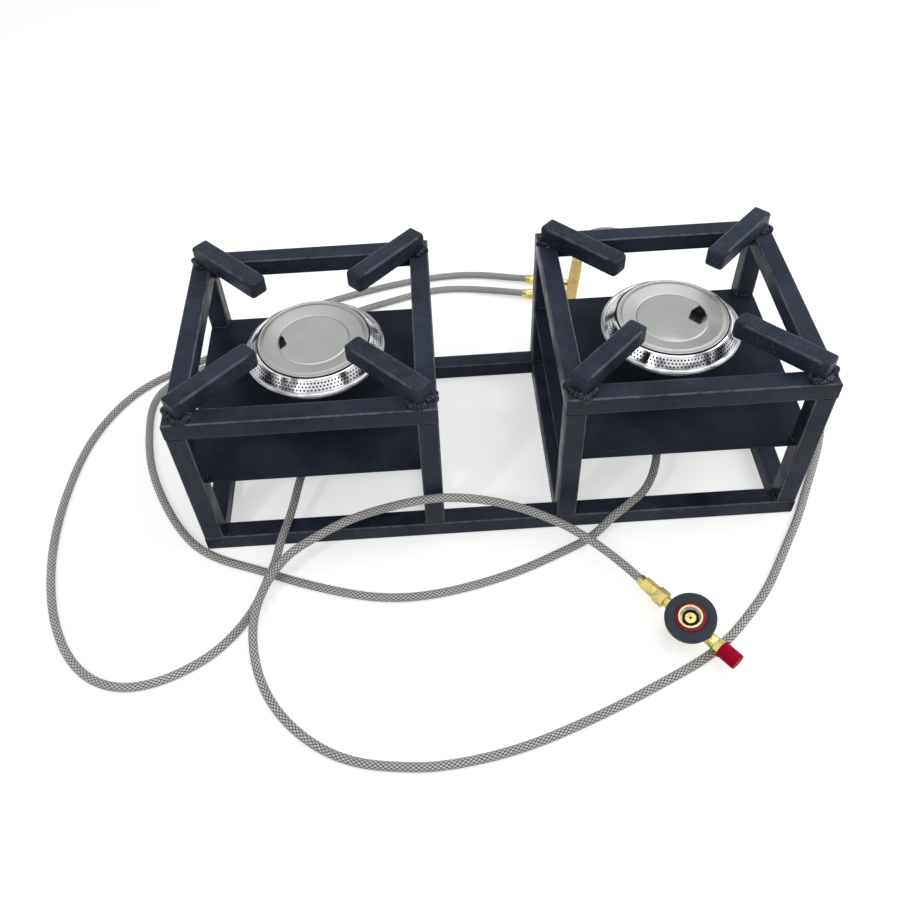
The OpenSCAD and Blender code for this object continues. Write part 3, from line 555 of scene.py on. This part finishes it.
SUPPLY_ROUTE = [
    (204, 457.5, 7.5), (220.5, 470, 6), (240.5, 474.5, 5.5), (261, 470, 5.5), (284, 460, 5.5),
    (315, 452, 5.5), (350, 448, 5.5), (396, 446, 5.5), (436, 440, 5.5), (466, 426, 5.5),
    (490, 405, 5.5), (507, 377, 5.5), (515, 340, 5.5), (515, 283, 5.5), (510, 186, 5.5),
    (502, 96, 5.5), (482, 15, 5.5), (458, -46, 5.5), (437, -87, 5.5), (414, -129, 5.5),
    (390, -172, 5.5), (366, -209, 5.5), (341, -247, 5.5), (316, -281, 5.5), (290, -309, 5.5),
    (264, -334, 5.5), (235, -356, 5.5), (207, -372, 5.5), (180, -385, 5.5), (123, -411, 5.5),
    (64, -435, 5.5), (5, -455, 5.5), (-73, -470, 5.5), (-110, -472, 5.5), (-147, -469, 5.5),
    (-181, -463, 5.5), (-213, -451, 5.5), (-244, -431, 5.5), (-271, -405, 5.5), (-292, -375, 5.5),
    (-306, -343, 7), (-313, -312, 11), (-314, -282, 17), (-308, -254, 23.5), (-296, -229, 30),
    (-275, -206, 40), (-241, -189, 52), (-199, -176, 66), (-150, -169, 79), (-101, -166, 87.5),
    (-70, -165.5, 89), (-45, -165.5, 85.5), (-4, -167, 74), (36, -173, 60), (62, -181, 51),
    (86, -192, 43), (108, -205, 35), (128, -220, 28), (142, -233, 24), (154, -246.5, 22),
]


def heading(degrees):
    return Vector((math.cos(math.radians(degrees)), math.sin(math.radians(degrees)), 0.0))


FITTING_LEN = 36.0                   # from a seat to where the bare hose starts
ELBOW_Z = 55.0
ELBOW_REACH = 26.0                   # from an elbow's upright to its seat
LEFT_INLET, RIGHT_INLET = -110.0, -100.0
MANIFOLD_TURN = 75.0
MANIFOLD_AT = Vector((165.0, 330.0, 8.5))
OUTLET_REACH = 43.5                  # from the manifold's middle line to an outlet's seat
OUTLET_STEP = 38.0                   # from one outlet to the other
INLET_REACH = 77.0                   # from the manifold's first outlet to its inlet's seat
REG_REACH = 45.0                     # from the regulator's middle to its seat


def elbow_at(box):
    return Vector((BOXES[box] + BURNER_X, BURNER_Y, ELBOW_Z))


# Each hose end: where its seat is and which way the hose leaves, as in the CAD
OUTLET_TURN = MANIFOLD_TURN + 90
FIRST_OUTLET = MANIFOLD_AT + OUTLET_REACH * heading(OUTLET_TURN)
HOSE_TURN = math.degrees(REG_TURN)
SEATS = {
    "left burner": (elbow_at("left") + ELBOW_REACH * heading(LEFT_INLET), LEFT_INLET),
    "right burner": (elbow_at("right") + ELBOW_REACH * heading(RIGHT_INLET), RIGHT_INLET),
    "outlet one": (FIRST_OUTLET, OUTLET_TURN),
    "outlet two": (FIRST_OUTLET - OUTLET_STEP * heading(MANIFOLD_TURN), OUTLET_TURN),
    "inlet": (MANIFOLD_AT + INLET_REACH * heading(MANIFOLD_TURN), MANIFOLD_TURN),
    "regulator": (REG_AT - REG_REACH * heading(HOSE_TURN), HOSE_TURN + 180),
}


def hose_end(seat):
    """Where the bare hose of a seat starts, and which way it leaves."""
    place, turn = SEATS[seat]
    return place + FITTING_LEN * heading(turn), heading(turn)


def braided_hose(name, first, route, last):
    """A hose along its route from one seat to another, lying on the floor where it can."""
    (start, leaving), (end, arriving) = hose_end(first), hose_end(last)
    line = smooth_line([tuple(start), *route, tuple(end)], 3.0, leaving, -arriving)
    line[:, 2] = np.maximum(line[:, 2], HOSE_D / 2)
    verts, faces, uvs, length = tube_along(line, HOSE_D / 2, 24)
    obj = add_piece(name, verts, faces, BRAID, replaces=[name.replace("_braid", "")],
                    uvs=uvs)
    print(name, "length", round(length), "mm")


ON_SUPPLY = [
    "regulator_body", "regulator_outlet", "regulator_bonnet", "adjusting_knob", "adjusting_screw",
    "regulating_spring", "regulating_piston", "coupling_handwheel", "coupling_nut",
    "coupling_collar", "inlet_nipple", "inlet_seal",
]
for name, first, route, last, carried in (
        ("left_hose_braid", "left burner", LEFT_ROUTE, "outlet one",
         ["hose_ferrules", "swivel_nuts"]),
        ("right_hose_braid", "right burner", RIGHT_ROUTE, "outlet two",
         ["manifold_bar", "manifold_nipples"]),
        ("supply_hose_braid", "inlet", SUPPLY_ROUTE, "regulator", ON_SUPPLY)):
    braided_hose(name, first, route, last)


# ---------------------------------------------------------------- frame

CORNER_PARTS = 4
RUBBED_BAND = 1.2                    # how far past a rounded edge the rubbing fades out
EDGE_FOOT = 0.55                     # how rubbed a rounded edge is where the flat starts


def square_profile(width, radius):
    """(y, z, rubbed) round a square bar with rounded corners, from 0 to its width."""
    out = []
    mid, flat = width / 2, width - radius
    for c, sn in ((1, 0), (0, 1), (-1, 0), (0, -1)):
        corner = []
        for k in range(CORNER_PARTS + 1):
            a = math.pi / 2 * k / CORNER_PARTS
            corner.append((flat + radius * math.cos(a), flat + radius * math.sin(a),
                           1.0 if 0 < k < CORNER_PARTS else EDGE_FOOT))
        corner.append((flat - RUBBED_BAND, width, 0.0))
        corner.append((radius + RUBBED_BAND, width, 0.0))
        for y, z, rub in corner:
            y, z = y - mid, z - mid
            out.append((mid + c * y - sn * z, mid + sn * y + c * z, rub))
    return out


# Where the frame is welded: the paint is scorched round these places
WELD_INSET = 14.0
SCORCH_REACH = 24.0
WELDED = np.array([
    (x0 + sx * (BOX_W / 2 - WELD_INSET), sy * (HALF_D - WELD_INSET), z)
    for x0 in BOXES.values() for sx in (-1, 1) for sy in (-1, 1)
    for z in (TUBE, SHELF_TOP, FRAME_H - TUBE, FRAME_H)])


def scorch_at(point):
    near = np.linalg.norm(WELDED - np.array(point), axis=1).min()
    return math.exp(-(near / SCORCH_REACH) ** 2)


END_FLAT = 2.0                       # how far in from its rim an eased end turns flat
EASE_PARTS = 5


def frame_bar(name, place, length, width, radius, mitred=False, ends=(0.0, 0.0), end_rub=0.0,
              replaces=(), material=FRAME_PAINT):
    """A square bar along place's X, rounded on its long edges and mitred or eased at its ends."""
    profile = square_profile(width, radius)
    n = len(profile)

    def easing(size):
        if not size:
            return [(0.0, 0.0)]
        return [(size * (1 - math.sin(a)), size * (1 - math.cos(a)))
                for a in (math.pi / 2 * (1 - k / EASE_PARTS) for k in range(EASE_PARTS + 1))]

    # (how far along, how far in from the full width, how rubbed, or -1 between the ends)
    first, last = easing(ends[0]), list(reversed(easing(ends[1])))
    along = np.linspace(ends[0], length - ends[1], max(6, int(length / 9)))[1:-1]
    rows = [(0.0, first[0][1] + END_FLAT, end_rub)] if ends[0] else []
    rows += [(s, inset, end_rub) for s, inset in first]
    rows += [(s, 0.0, -1.0) for s in along]
    rows += [(length - s, inset, end_rub) for s, inset in last]
    rows += [(length, last[-1][1] + END_FLAT, end_rub)] if ends[1] else []
    verts, wear = [], []
    mid = width / 2
    for s, inset, end in rows:
        shrink = (width - 2 * inset) / width
        for y, z, rub in profile:
            x = y + s / length * (length - 2 * y) if mitred else s
            p = place @ Vector((x, mid + (y - mid) * shrink, mid + (z - mid) * shrink))
            verts.append(p)
            wear.append((rub if end < 0 or not ends[0] else end, scorch_at(p), 0.0))
    faces = []
    for i in range(len(rows) - 1):
        for k in range(n):
            j = (k + 1) % n
            faces.append((i * n + k, i * n + j, (i + 1) * n + j, (i + 1) * n + k))
    faces.append(tuple(range(n - 1, -1, -1)))
    faces.append(tuple(range((len(rows) - 1) * n, len(rows) * n)))
    add_piece(name, verts, faces, material, replaces=replaces, wear=wear,
              sharp=50)


def placed(origin, x_dir, y_dir):
    """A frame at origin with its X and Y along two directions square to each other."""
    x, y = Vector(x_dir).normalized(), Vector(y_dir).normalized()
    z = x.cross(y)
    return Matrix(((x.x, y.x, z.x, origin[0]), (x.y, y.y, z.y, origin[1]),
                   (x.z, y.z, z.z, origin[2]), (0, 0, 0, 1)))


X, Y, Z = (1, 0, 0), (0, 1, 0), (0, 0, 1)
NX, NY = (-1, 0, 0), (0, -1, 0)
ROUND = 2.4                          # radius of the tube's long edges
BAR_ROUND = 3.6
BAR_ENDS = (2.5, 7.0)                # easing of a pot support's outer and inner end

inner_x = HALF_L - BOX_W + TUBE
inner_y = HALF_D - TUBE
for name, origin, along, into, length, mitred, replaces in (
        ("front", (-HALF_L, -HALF_D, 0), X, Y, 2 * HALF_L, True, ["base_rail_front"]),
        ("back", (HALF_L, HALF_D, 0), NX, NY, 2 * HALF_L, True, ["base_rail_back"]),
        ("right_end", (HALF_L, -HALF_D, 0), Y, NX, 2 * HALF_D, True, ["outer_cross_rails"]),
        ("left_end", (-HALF_L, HALF_D, 0), NY, X, 2 * HALF_D, True, []),
        ("right_cross", (inner_x, -inner_y, 0), Y, NX, 2 * inner_y, False, ["inner_cross_rails"]),
        ("left_cross", (TUBE - inner_x, -inner_y, 0), Y, NX, 2 * inner_y, False, [])):
    frame_bar(f"base_{name}", placed(origin, along, into), length, TUBE, ROUND, mitred,
              replaces=replaces)

CORNERS = {"front_left": (-1, -1), "front_right": (1, -1), "back_left": (-1, 1),
           "back_right": (1, 1)}
for box, x0 in BOXES.items():
    for corner, (sx, sy) in CORNERS.items():
        lx = x0 + sx * (BOX_W - TUBE) / 2 - TUBE / 2
        ly = sy * (HALF_D - TUBE / 2) - TUBE / 2
        frame_bar(f"{box}_leg_{corner}_tube", placed((lx, ly, TUBE), Z, X), FRAME_H - 2 * TUBE,
                  TUBE, ROUND, replaces=[f"{box}_leg_{corner}"])
        out = Vector((x0 + sx * BOX_W / 2, sy * HALF_D, FRAME_H))
        inward = Vector((-sx, -sy, 0)).normalized()
        across = Vector(Z).cross(inward)
        start = out + BAR_GAP * inward - BAR / 2 * across
        frame_bar(f"{box}_support_{corner}_bar", placed(start, inward, across), BAR_LEN, BAR,
                  BAR_ROUND, ends=BAR_ENDS, end_rub=0.45,
                  replaces=[f"{box}_support_{corner}"], material=BAR_PAINT)
    half = BOX_W / 2
    z = FRAME_H - TUBE
    for rail, origin, along, into, length in (
            ("front", (x0 - half, -HALF_D, z), X, Y, BOX_W),
            ("back", (x0 + half, HALF_D, z), NX, NY, BOX_W),
            ("right", (x0 + half, -HALF_D, z), Y, NX, 2 * HALF_D),
            ("left", (x0 - half, HALF_D, z), NY, X, 2 * HALF_D)):
        frame_bar(f"{box}_top_{rail}_tube", placed(origin, along, into), length, TUBE, ROUND, True,
                  replaces=[f"{box}_top_rail_{rail}"])


# ---------------------------------------------------------------- welds

BEAD_SIDES = 10
RIPPLE = 0.28                        # how much a weld bead swells and shrinks along its run
BEAD_WEAR, LUMP_WEAR = (0.35, 0.9, 0.0), (0.1, 0.6, 0.0)


def weld_bead(start, end, radius, seed, metal):
    """Adds a run of overlapping weld ripples between two points to the lists of metal."""
    verts, faces, wear = metal
    rng = random.Random(seed)
    a, b = np.array(start, float), np.array(end, float)
    length = np.linalg.norm(b - a)
    d = (b - a) / length
    side = np.cross(d, (0.3, 0.2, 1.0))
    side /= np.linalg.norm(side)
    up = np.cross(side, d)
    steps, sides = max(6, int(length / 1.1)), BEAD_SIDES
    base = len(verts)
    phase = rng.random() * 6
    for i in range(steps + 1):
        t = i / steps
        taper = min(1.0, 3.2 * math.sin(math.pi * min(max(t, 0.02), 0.98)) ** 0.6)
        ripple = 1 + RIPPLE * math.sin(phase + length * t * 1.9)
        ripple += RIPPLE * 0.6 * (rng.random() - 0.5)
        drift = 0.25 * radius * math.sin(phase + 0.35 * length * t)
        for k in range(sides):
            ang = 2 * math.pi * k / sides
            r = radius * ripple * taper * (1 + 0.12 * (rng.random() - 0.5))
            verts.append(a + d * length * t + side * (drift + r * math.cos(ang))
                         + up * (r * math.sin(ang)))
            wear.append(BEAD_WEAR)
    for i in range(steps):
        for k in range(sides):
            j = (k + 1) % sides
            faces.append((base + i * sides + k, base + i * sides + j,
                          base + (i + 1) * sides + j, base + (i + 1) * sides + k))
    faces.append(tuple(base + k for k in range(sides - 1, -1, -1)))
    faces.append(tuple(base + steps * sides + k for k in range(sides)))


FLATNESS = 0.8                       # a drop's height for its width


def weld_lump(centre, radius, rng, metal):
    """Adds one uneven drop of weld metal, a little flatter than round."""
    verts, faces, wear = metal
    rings, sides = 8, 14
    base = len(verts)
    sway = [rng.uniform(0.0, 6.3) for _ in range(3)]
    for i in range(1, rings):
        down = math.pi * i / rings
        for k in range(sides):
            a = 2 * math.pi * k / sides
            r = radius * (1 + 0.13 * math.sin(2 * a + sway[0])
                          + 0.10 * math.sin(3 * down + sway[1])
                          + 0.08 * math.sin(3 * a + sway[2]))
            verts.append(centre + r * np.array((
                math.sin(down) * math.cos(a), math.sin(down) * math.sin(a),
                FLATNESS * math.cos(down))))
            wear.append(LUMP_WEAR)
    top_point, low_point = len(verts), len(verts) + 1
    pole = np.array((0, 0, FLATNESS * radius))
    verts += [centre + pole, centre - pole]
    wear += [LUMP_WEAR] * 2
    for k in range(sides):
        j = (k + 1) % sides
        faces.append((top_point, base + k, base + j))
        faces.append((low_point, base + (rings - 2) * sides + j, base + (rings - 2) * sides + k))
        for i in range(rings - 2):
            a, b = base + i * sides, base + (i + 1) * sides
            faces.append((a + k, b + k, b + j, a + j))


# Drops of weld at a pot support's outer end: from the corner, beside the bar's middle, radius
DROPS = [(BAR_GAP - 1.0, side, size) for side, size in ((-9.5, 6.2), (-2.0, 4.6), (6.5, 6.6))]
DROPS += [(BAR_GAP + along, flank * (BAR / 2 + 1.2), size)
          for flank in (-1, 1) for along, size in ((2.0, 6.6), (8.5, 7.0), (15.0, 5.0))]
DROP_LIFT = 1.2
TACK_Z = SHELF_TOP + 0.4
TACK_R = 1.9
FIRST_SEED = {"left": 7, "right": 31}


def box_welds(box, x0):
    """All the welds of one cube that show, as one piece."""
    metal = verts, faces, wear = [], [], []
    seed = FIRST_SEED[box]
    for sx, sy in CORNERS.values():
        out = np.array((x0 + sx * BOX_W / 2, sy * HALF_D, 0.0))
        inward = np.array((-sx, -sy, 0.0)) / math.sqrt(2)
        across = np.array((sy, -sx, 0.0)) / math.sqrt(2)
        top = np.array((0, 0, FRAME_H + DROP_LIFT))
        seed += 1
        rng = random.Random(seed)
        for along, side, size in DROPS:
            p = out + inward * (along + rng.uniform(-1.2, 1.2))
            p = p + across * (side + rng.uniform(-0.8, 0.8))
            p = p + top + np.array((0, 0, rng.uniform(-1.2, 0.4)))
            weld_lump(p, size * rng.uniform(0.85, 1.1), rng, metal)

        # the leg's two inner faces, by how far along and how far off the face
        lx, ly = x0 + sx * (BOX_W / 2 - TUBE), sy * (HALF_D - TUBE)

        def on_side(along, off, z):
            return lx - sx * off, ly + sy * along, z

        def on_front(along, off, z):
            return lx + sx * along, ly - sy * off, z

        # leg to top rail and leg to base
        for z, r in ((FRAME_H - TUBE - 0.6, 2.0), (TUBE + 0.6, 2.2)):
            for face in (on_side, on_front):
                seed += 1
                weld_bead(face(3, 0.4, z), face(22, 0.4, z), r, seed, metal)
        # shelf to leg, a short tack on each side of its notch
        seed += 1
        weld_bead(on_side(2, 0.6, TACK_Z), on_side(13, 0.6, TACK_Z), TACK_R, seed, metal)
        weld_bead(on_front(4, 0.6, TACK_Z), on_front(20, 0.6, TACK_Z), TACK_R, seed + 100, metal)
    add_piece(f"{box}_welds", verts, faces, WELD_PAINT, wear=wear)


for box, x0 in BOXES.items():
    box_welds(box, x0)


# ---------------------------------------------------------------- carried-over pieces

SAME_POINT = 0.00001                 # points nearer than this, in metres, are one
SHARP_EDGE = math.radians(28)


def dress(node, material, bevel=0.0):
    """Gives a CAD node its finish and eases its sharp edges by a bevel in millimetres."""
    obj = NODES[node]
    obj.data.materials.clear()
    obj.data.materials.append(material)
    if bevel:
        weld = obj.modifiers.new("close_seams", "WELD")
        weld.merge_threshold = SAME_POINT
        ease = obj.modifiers.new("eased_edges", "BEVEL")
        ease.width = bevel * MM
        ease.segments = 2
        ease.limit_method = "ANGLE"
        ease.angle_limit = SHARP_EDGE


for material, bevel, names in (
        (SHELF_PAINT, 0.5, ("left_shelf", "right_shelf")),
        (DULL_SHEET, 0.3, ("mixing_tubes", "tube_ring_nuts")),
        (BRASS, 0.4, ("jet_elbows", "gas_jets", "hose_ferrules", "swivel_nuts",
                      "manifold_nipples", "regulator_outlet", "regulator_bonnet",
                      "inlet_nipple", "regulating_piston", "regulator_body")),
        (BAR_BRASS, 0.9, ("manifold_bar",)),
        (PLAIN_STEEL, 0.0, ("adjusting_screw", "regulating_spring")),
        (BLACK_RUBBER, 0.3, ("inlet_seal",)),
        (DULL_SHEET, 0.0, ("left_burner_bowl", "right_burner_bowl"))):
    for name in names:
        dress(name, material, bevel)


# ---------------------------------------------------------------- burners

CAP_TOP = 78.0
RING_TOP = CAP_TOP - 2
SLOPE_TOP = (75.2, RING_TOP - 2)
SLOPE_FOOT = (84.8, RING_TOP - 12.8)
LIP = (86.5, RING_TOP - 15)
LIP_ROLL = 3.0
PORTS = 112
PORT_D = 2.5
PORT_SIDES = 12
PORT_TAPER = 0.92
PORT_ROWS = (2.8, 7.0, 11.2)         # how far down the slope each row of ports is
RING_WALL = 1.3
DOME = 420.0                         # the middle of a cap is slightly domed, to this radius


def at_burner(x0):
    """On a burner's axis, level with the top of the shelf."""
    return Matrix.Translation((x0 + BURNER_X, BURNER_Y, SHELF_TOP))


def burner_cap(box, x0):
    """A pressed lid: a domed mirror, a duller ring that climbs outwards, and a beaded rim."""
    middle = [(max(r, 0.001), CAP_TOP - 0.5 - r * r / (2 * DOME))
              for r in (0, 6, 12, 18, 24, 30, 36, 41, 44)]
    rim = rounded([middle[-1], (44.8, CAP_TOP - 3.0), (45.9, CAP_TOP - 3.9), (47.2, CAP_TOP - 3.2),
                   (63.4, CAP_TOP + 0.05), (66.0, CAP_TOP - 0.4), (68.4, CAP_TOP - 0.4),
                   (69.6, CAP_TOP + 0.05), (70.6, CAP_TOP - 0.2), (71.0, CAP_TOP - 0.9),
                   (71.0, RING_TOP + 0.6), (69.8, RING_TOP + 0.05), (66, RING_TOP + 0.02)],
                  [0.3, 0.5, 0.8, 0.8, 0.8, 0.8, 0.5, 0.4, 0.3, 0.3, 0.3], 5)
    # A black band round the foot of the cap's rim: a painted shadow for the gap between cap and
    # ring.
    joint = [(71.02, RING_TOP + 1.3), (71.5, RING_TOP + 0.9), (72.5, RING_TOP + 0.1),
             (71.0, RING_TOP)]
    for part, profile, steps, material, slot, replaces in (
            ("disc", middle, 192, MIRROR, "burner_mirror", [f"{box}_burner_cap"]),
            ("rim", rim, 192, DULLED_MIRROR, "burner_mirror", []),
            ("joint", joint, 160, SOOT_AND_SHADOW, "burner_sheet", [])):
        verts, faces = lathe_mesh(profile, steps, at_burner(x0))
        add_piece(f"{box}_cap_{part}", verts, flipped(faces), material,
                  replaces=replaces)


def ring_skirt(box, x0):
    """The sloping skirt, laid out port by port, so that every port is a real hole."""
    place = at_burner(x0)
    verts, faces = [], []
    slope = Vector((SLOPE_FOOT[0] - SLOPE_TOP[0], SLOPE_FOOT[1] - SLOPE_TOP[1]))
    length = slope.length
    slope.normalize()
    inward = Vector((-abs(slope.y), -slope.x))     # square to the slope, into the ring

    def on_slope(turn, down, deep=0.0):
        r = SLOPE_TOP[0] + slope.x * down + inward.x * deep
        z = SLOPE_TOP[1] + slope.y * down + inward.y * deep
        return place @ Vector((r * math.cos(turn), r * math.sin(turn), z))

    step = 2 * math.pi / PORTS
    cuts = [0.0, *((a + b) / 2 for a, b in zip(PORT_ROWS, PORT_ROWS[1:])), length]
    sides = PORT_SIDES
    for row, down in enumerate(PORT_ROWS):
        low, high = cuts[row], cuts[row + 1]
        for i in range(PORTS):
            mid = step * (i + row / 2)
            radius = SLOPE_TOP[0] + slope.x * down
            base = len(verts)
            rim, edge, deep = [], [], []
            for k in range(sides):
                a = 2 * math.pi * (k + 0.5) / sides
                u, v = math.cos(a), math.sin(a)
                for ring, size, depth in ((rim, PORT_D / 2, 0.0),
                                          (deep, PORT_D / 2 * PORT_TAPER, RING_WALL)):
                    ring.append(on_slope(mid + size * u / radius, down - size * v, depth))
                far = max(abs(u), abs(v))
                reach = down - low if v > 0 else high - down
                edge.append(on_slope(mid + step / 2 * u / far, down - reach * v / far))
            verts += edge + rim + deep
            for k in range(sides):
                j = (k + 1) % sides
                for outer in (base, base + sides):
                    faces.append((outer + k, outer + j, outer + sides + j, outer + sides + k))
    add_piece(f"{box}_ring_skirt", verts, faces, PRESSED_RING,
              replaces=[f"{box}_flame_ring"], sharp=40)


def flame_ring(box, x0):
    """The shoulder that carries the cap, the skirt, the rolled lip and a sooty inside."""
    ring_skirt(box, x0)
    shoulder = rounded([(66, RING_TOP - 1), (66, RING_TOP), (72.4, RING_TOP),
                        (74.2, RING_TOP - 0.7), SLOPE_TOP], [0.2, 1.2, 0.8], 4)
    x, z = LIP
    lip = [SLOPE_FOOT, (x - 1.0, z + LIP_ROLL + 0.1)]
    lip += [(x + LIP_ROLL * math.cos(a), z + LIP_ROLL * math.sin(a))
            for a in (math.radians(t) for t in range(96, -200, -12))]
    inside = [(66, RING_TOP - 1.4), (73.6, RING_TOP - 3), (82.8, RING_TOP - 13.8)]
    for part, profile, material, slot in (
            ("shoulder", shoulder, PRESSED_RING, "burner_ring"),
            ("lip", lip, ROLLED_LIP, "burner_ring"), ("inside", inside, SOOT_AND_SHADOW, "burner_sheet")):
        verts, faces = lathe_mesh(profile, 160, at_burner(x0))
        add_piece(f"{box}_ring_{part}", verts, faces if part == "inside" else flipped(faces),
                  material)


for box, x0 in BOXES.items():
    burner_cap(box, x0)
    flame_ring(box, x0)


# ---------------------------------------------------------------- regulator

REG = (Matrix.Translation(REG_AT) @ Matrix.Rotation(REG_TURN, 4, "Z")
       @ Matrix.Rotation(REG_TILT, 4, "X"))
WHEEL_Z = 9.3                        # underside of the handwheel above the regulator's middle
WHEEL_TOP = WHEEL_Z + 9.7
WHEEL_R, COLLAR_R, NUT_R = 30.5, 18.5, 14.5
NUT_TOP = 21.0
THREAD_PITCH, THREAD_TOP = 1.25, 19.25
KNOB_START = 46.3                    # from the regulator's middle to the knob, along its bonnet
KNOB_R, FLANGE_R, KNOB_LEN = 10.0, 11.0, 24.2


def on_coupling(name, profile, material, replaces, sharp=None):
    """A closed profile turned about the coupling's axis, riding on the coupling."""
    verts, faces = lathe_mesh(profile, 128, REG, closed=True)
    add_piece(name, verts, flipped(faces), material, body="coupling", replaces=replaces,
              sharp=sharp)


on_coupling("handwheel_disc",
            rounded([(18.6, WHEEL_Z), (WHEEL_R, WHEEL_Z), (WHEEL_R, WHEEL_TOP - 0.3),
                     (27.5, WHEEL_TOP), (22.0, WHEEL_TOP), (18.6, WHEEL_TOP - 0.7),
                     (18.6, WHEEL_Z)], [2.2, 3.0, 1.0, 2.0, 0.3], 5),
            SLATE, ["coupling_handwheel"])
on_coupling("collar_ring",
            rounded([(14.6, WHEEL_Z), (COLLAR_R, WHEEL_Z), (COLLAR_R, WHEEL_TOP + 0.2),
                     (17.6, WHEEL_TOP + 0.6), (14.6, WHEEL_TOP + 1.15), (14.6, WHEEL_Z)],
                    [0.2, 0.6, 0.8, 0.3], 4),
            DARK_RED, ["coupling_collar"])
on_coupling("coupling_nut_brass",
            [(5.1, WHEEL_Z), (NUT_R, WHEEL_Z), (NUT_R, NUT_TOP - 0.6), (14.0, NUT_TOP),
             (12.2, NUT_TOP), (11.9, NUT_TOP - 0.3), (11.9, WHEEL_Z + 2), (5.1, WHEEL_Z + 2)],
            ROSE_BRASS, ["coupling_nut"], sharp=32)

threads = [(11.89, 20.5)]
for turn in range(4):
    z = THREAD_TOP - turn * THREAD_PITCH
    threads += [(11.5, z + 0.9), (10.95, z + 0.5), (11.5, z + 0.1)]
threads += [(10.2, 15.4), (10.2, WHEEL_Z + 2.02)]
verts, faces = lathe_mesh(threads, 96, REG)
add_piece("coupling_thread", verts, faces, THREAD_BRASS, body="coupling",
          sharp=30)

knob = rounded([(4.05, 0), (FLANGE_R, 0), (FLANGE_R, 3.0), (KNOB_R, 3.4), (KNOB_R, KNOB_LEN),
                (7.0, KNOB_LEN), (0.001, KNOB_LEN)], [0.7, 0.6, 0.6, 1.9, 0.0], 5)
along_bonnet = Matrix.Translation((KNOB_START, 0, 0)) @ Matrix.Rotation(math.radians(90), 4, "Y")
verts, faces = lathe_mesh(knob, 96, REG @ along_bonnet)
add_piece("knob_shell", verts, flipped(faces), CRIMSON, body="knob",
          replaces=["adjusting_knob"])


# ---------------------------------------------------------------- floor and light

def shown_rays(g):
    """1 for the rays that show the background itself: camera, glossy and transmission."""
    ray = g.add("LightPath").outputs
    some = g.math("MAXIMUM", ray["Is Camera Ray"], ray["Is Glossy Ray"])
    return g.math("MAXIMUM", some, ray["Is Transmission Ray"])


def floor_finish():
    """A pale floor: part of its white is its own, so that the shadows on it stay soft."""
    mat, g, shader = new_finish("pale_floor", base_color=(0.80, 0.80, 0.80, 1), roughness=0.9,
                                specular_ior_level=0.0, emission_color=(1, 1, 1, 1))
    g.tree.links.new(g.math("MULTIPLY", shown_rays(g), 0.52), shader.inputs["Emission Strength"])
    return mat


HALF_FLOOR = 8.0                     # in metres
floor_mesh = bpy.data.meshes.new("floor")
floor_mesh.from_pydata([(HALF_FLOOR * x, HALF_FLOOR * y, 0) for x, y in (
    (-1, -1), (1, -1), (1, 1), (-1, 1))], [], [(0, 1, 2, 3)])
floor_mesh.materials.append(floor_finish())
floor = bpy.data.objects.new("floor", floor_mesh)
floor.location.z = -0.0004
bpy.context.scene.collection.objects.link(floor)


def studio_world():
    """White where it shows, and a weak even light on the object."""
    world = bpy.data.worlds.new("studio")
    world.use_nodes = True
    g = Graph(world.node_tree)
    back = world.node_tree.nodes["Background"]
    back.inputs["Color"].default_value = (1, 1, 1, 1)
    g.tree.links.new(g.between(shown_rays(g), 0.0, 1.0, 0.26, 1.0), back.inputs["Strength"])
    bpy.context.scene.world = world


studio_world()


LIT_POINT = Vector((0, 0, 0.1))


def softbox(name, place, size, power):
    """A flat lamp, wide and high as its size says, that faces the middle of the stand."""
    data = bpy.data.lights.new(name, "AREA")
    data.shape = "RECTANGLE"
    data.size, data.size_y = size
    data.energy = power
    obj = bpy.data.objects.new(name, data)
    obj.location = place
    obj.rotation_euler = (LIT_POINT - Vector(place)).to_track_quat("-Z", "Y").to_euler()
    bpy.context.scene.collection.objects.link(obj)


softbox("top_softbox", (0.9, -0.3, 3.0), (4.6, 3.4), 56)
softbox("left_softbox", (-2.8, -0.6, 2.2), (1.8, 1.8), 9)
softbox("right_softbox", (2.6, 0.4, 1.7), (1.8, 1.8), 24)
softbox("glint", (-1.2, -1.5, 1.9), (0.14, 0.14), 8)

bpy.context.scene.view_settings.view_transform = "Standard"
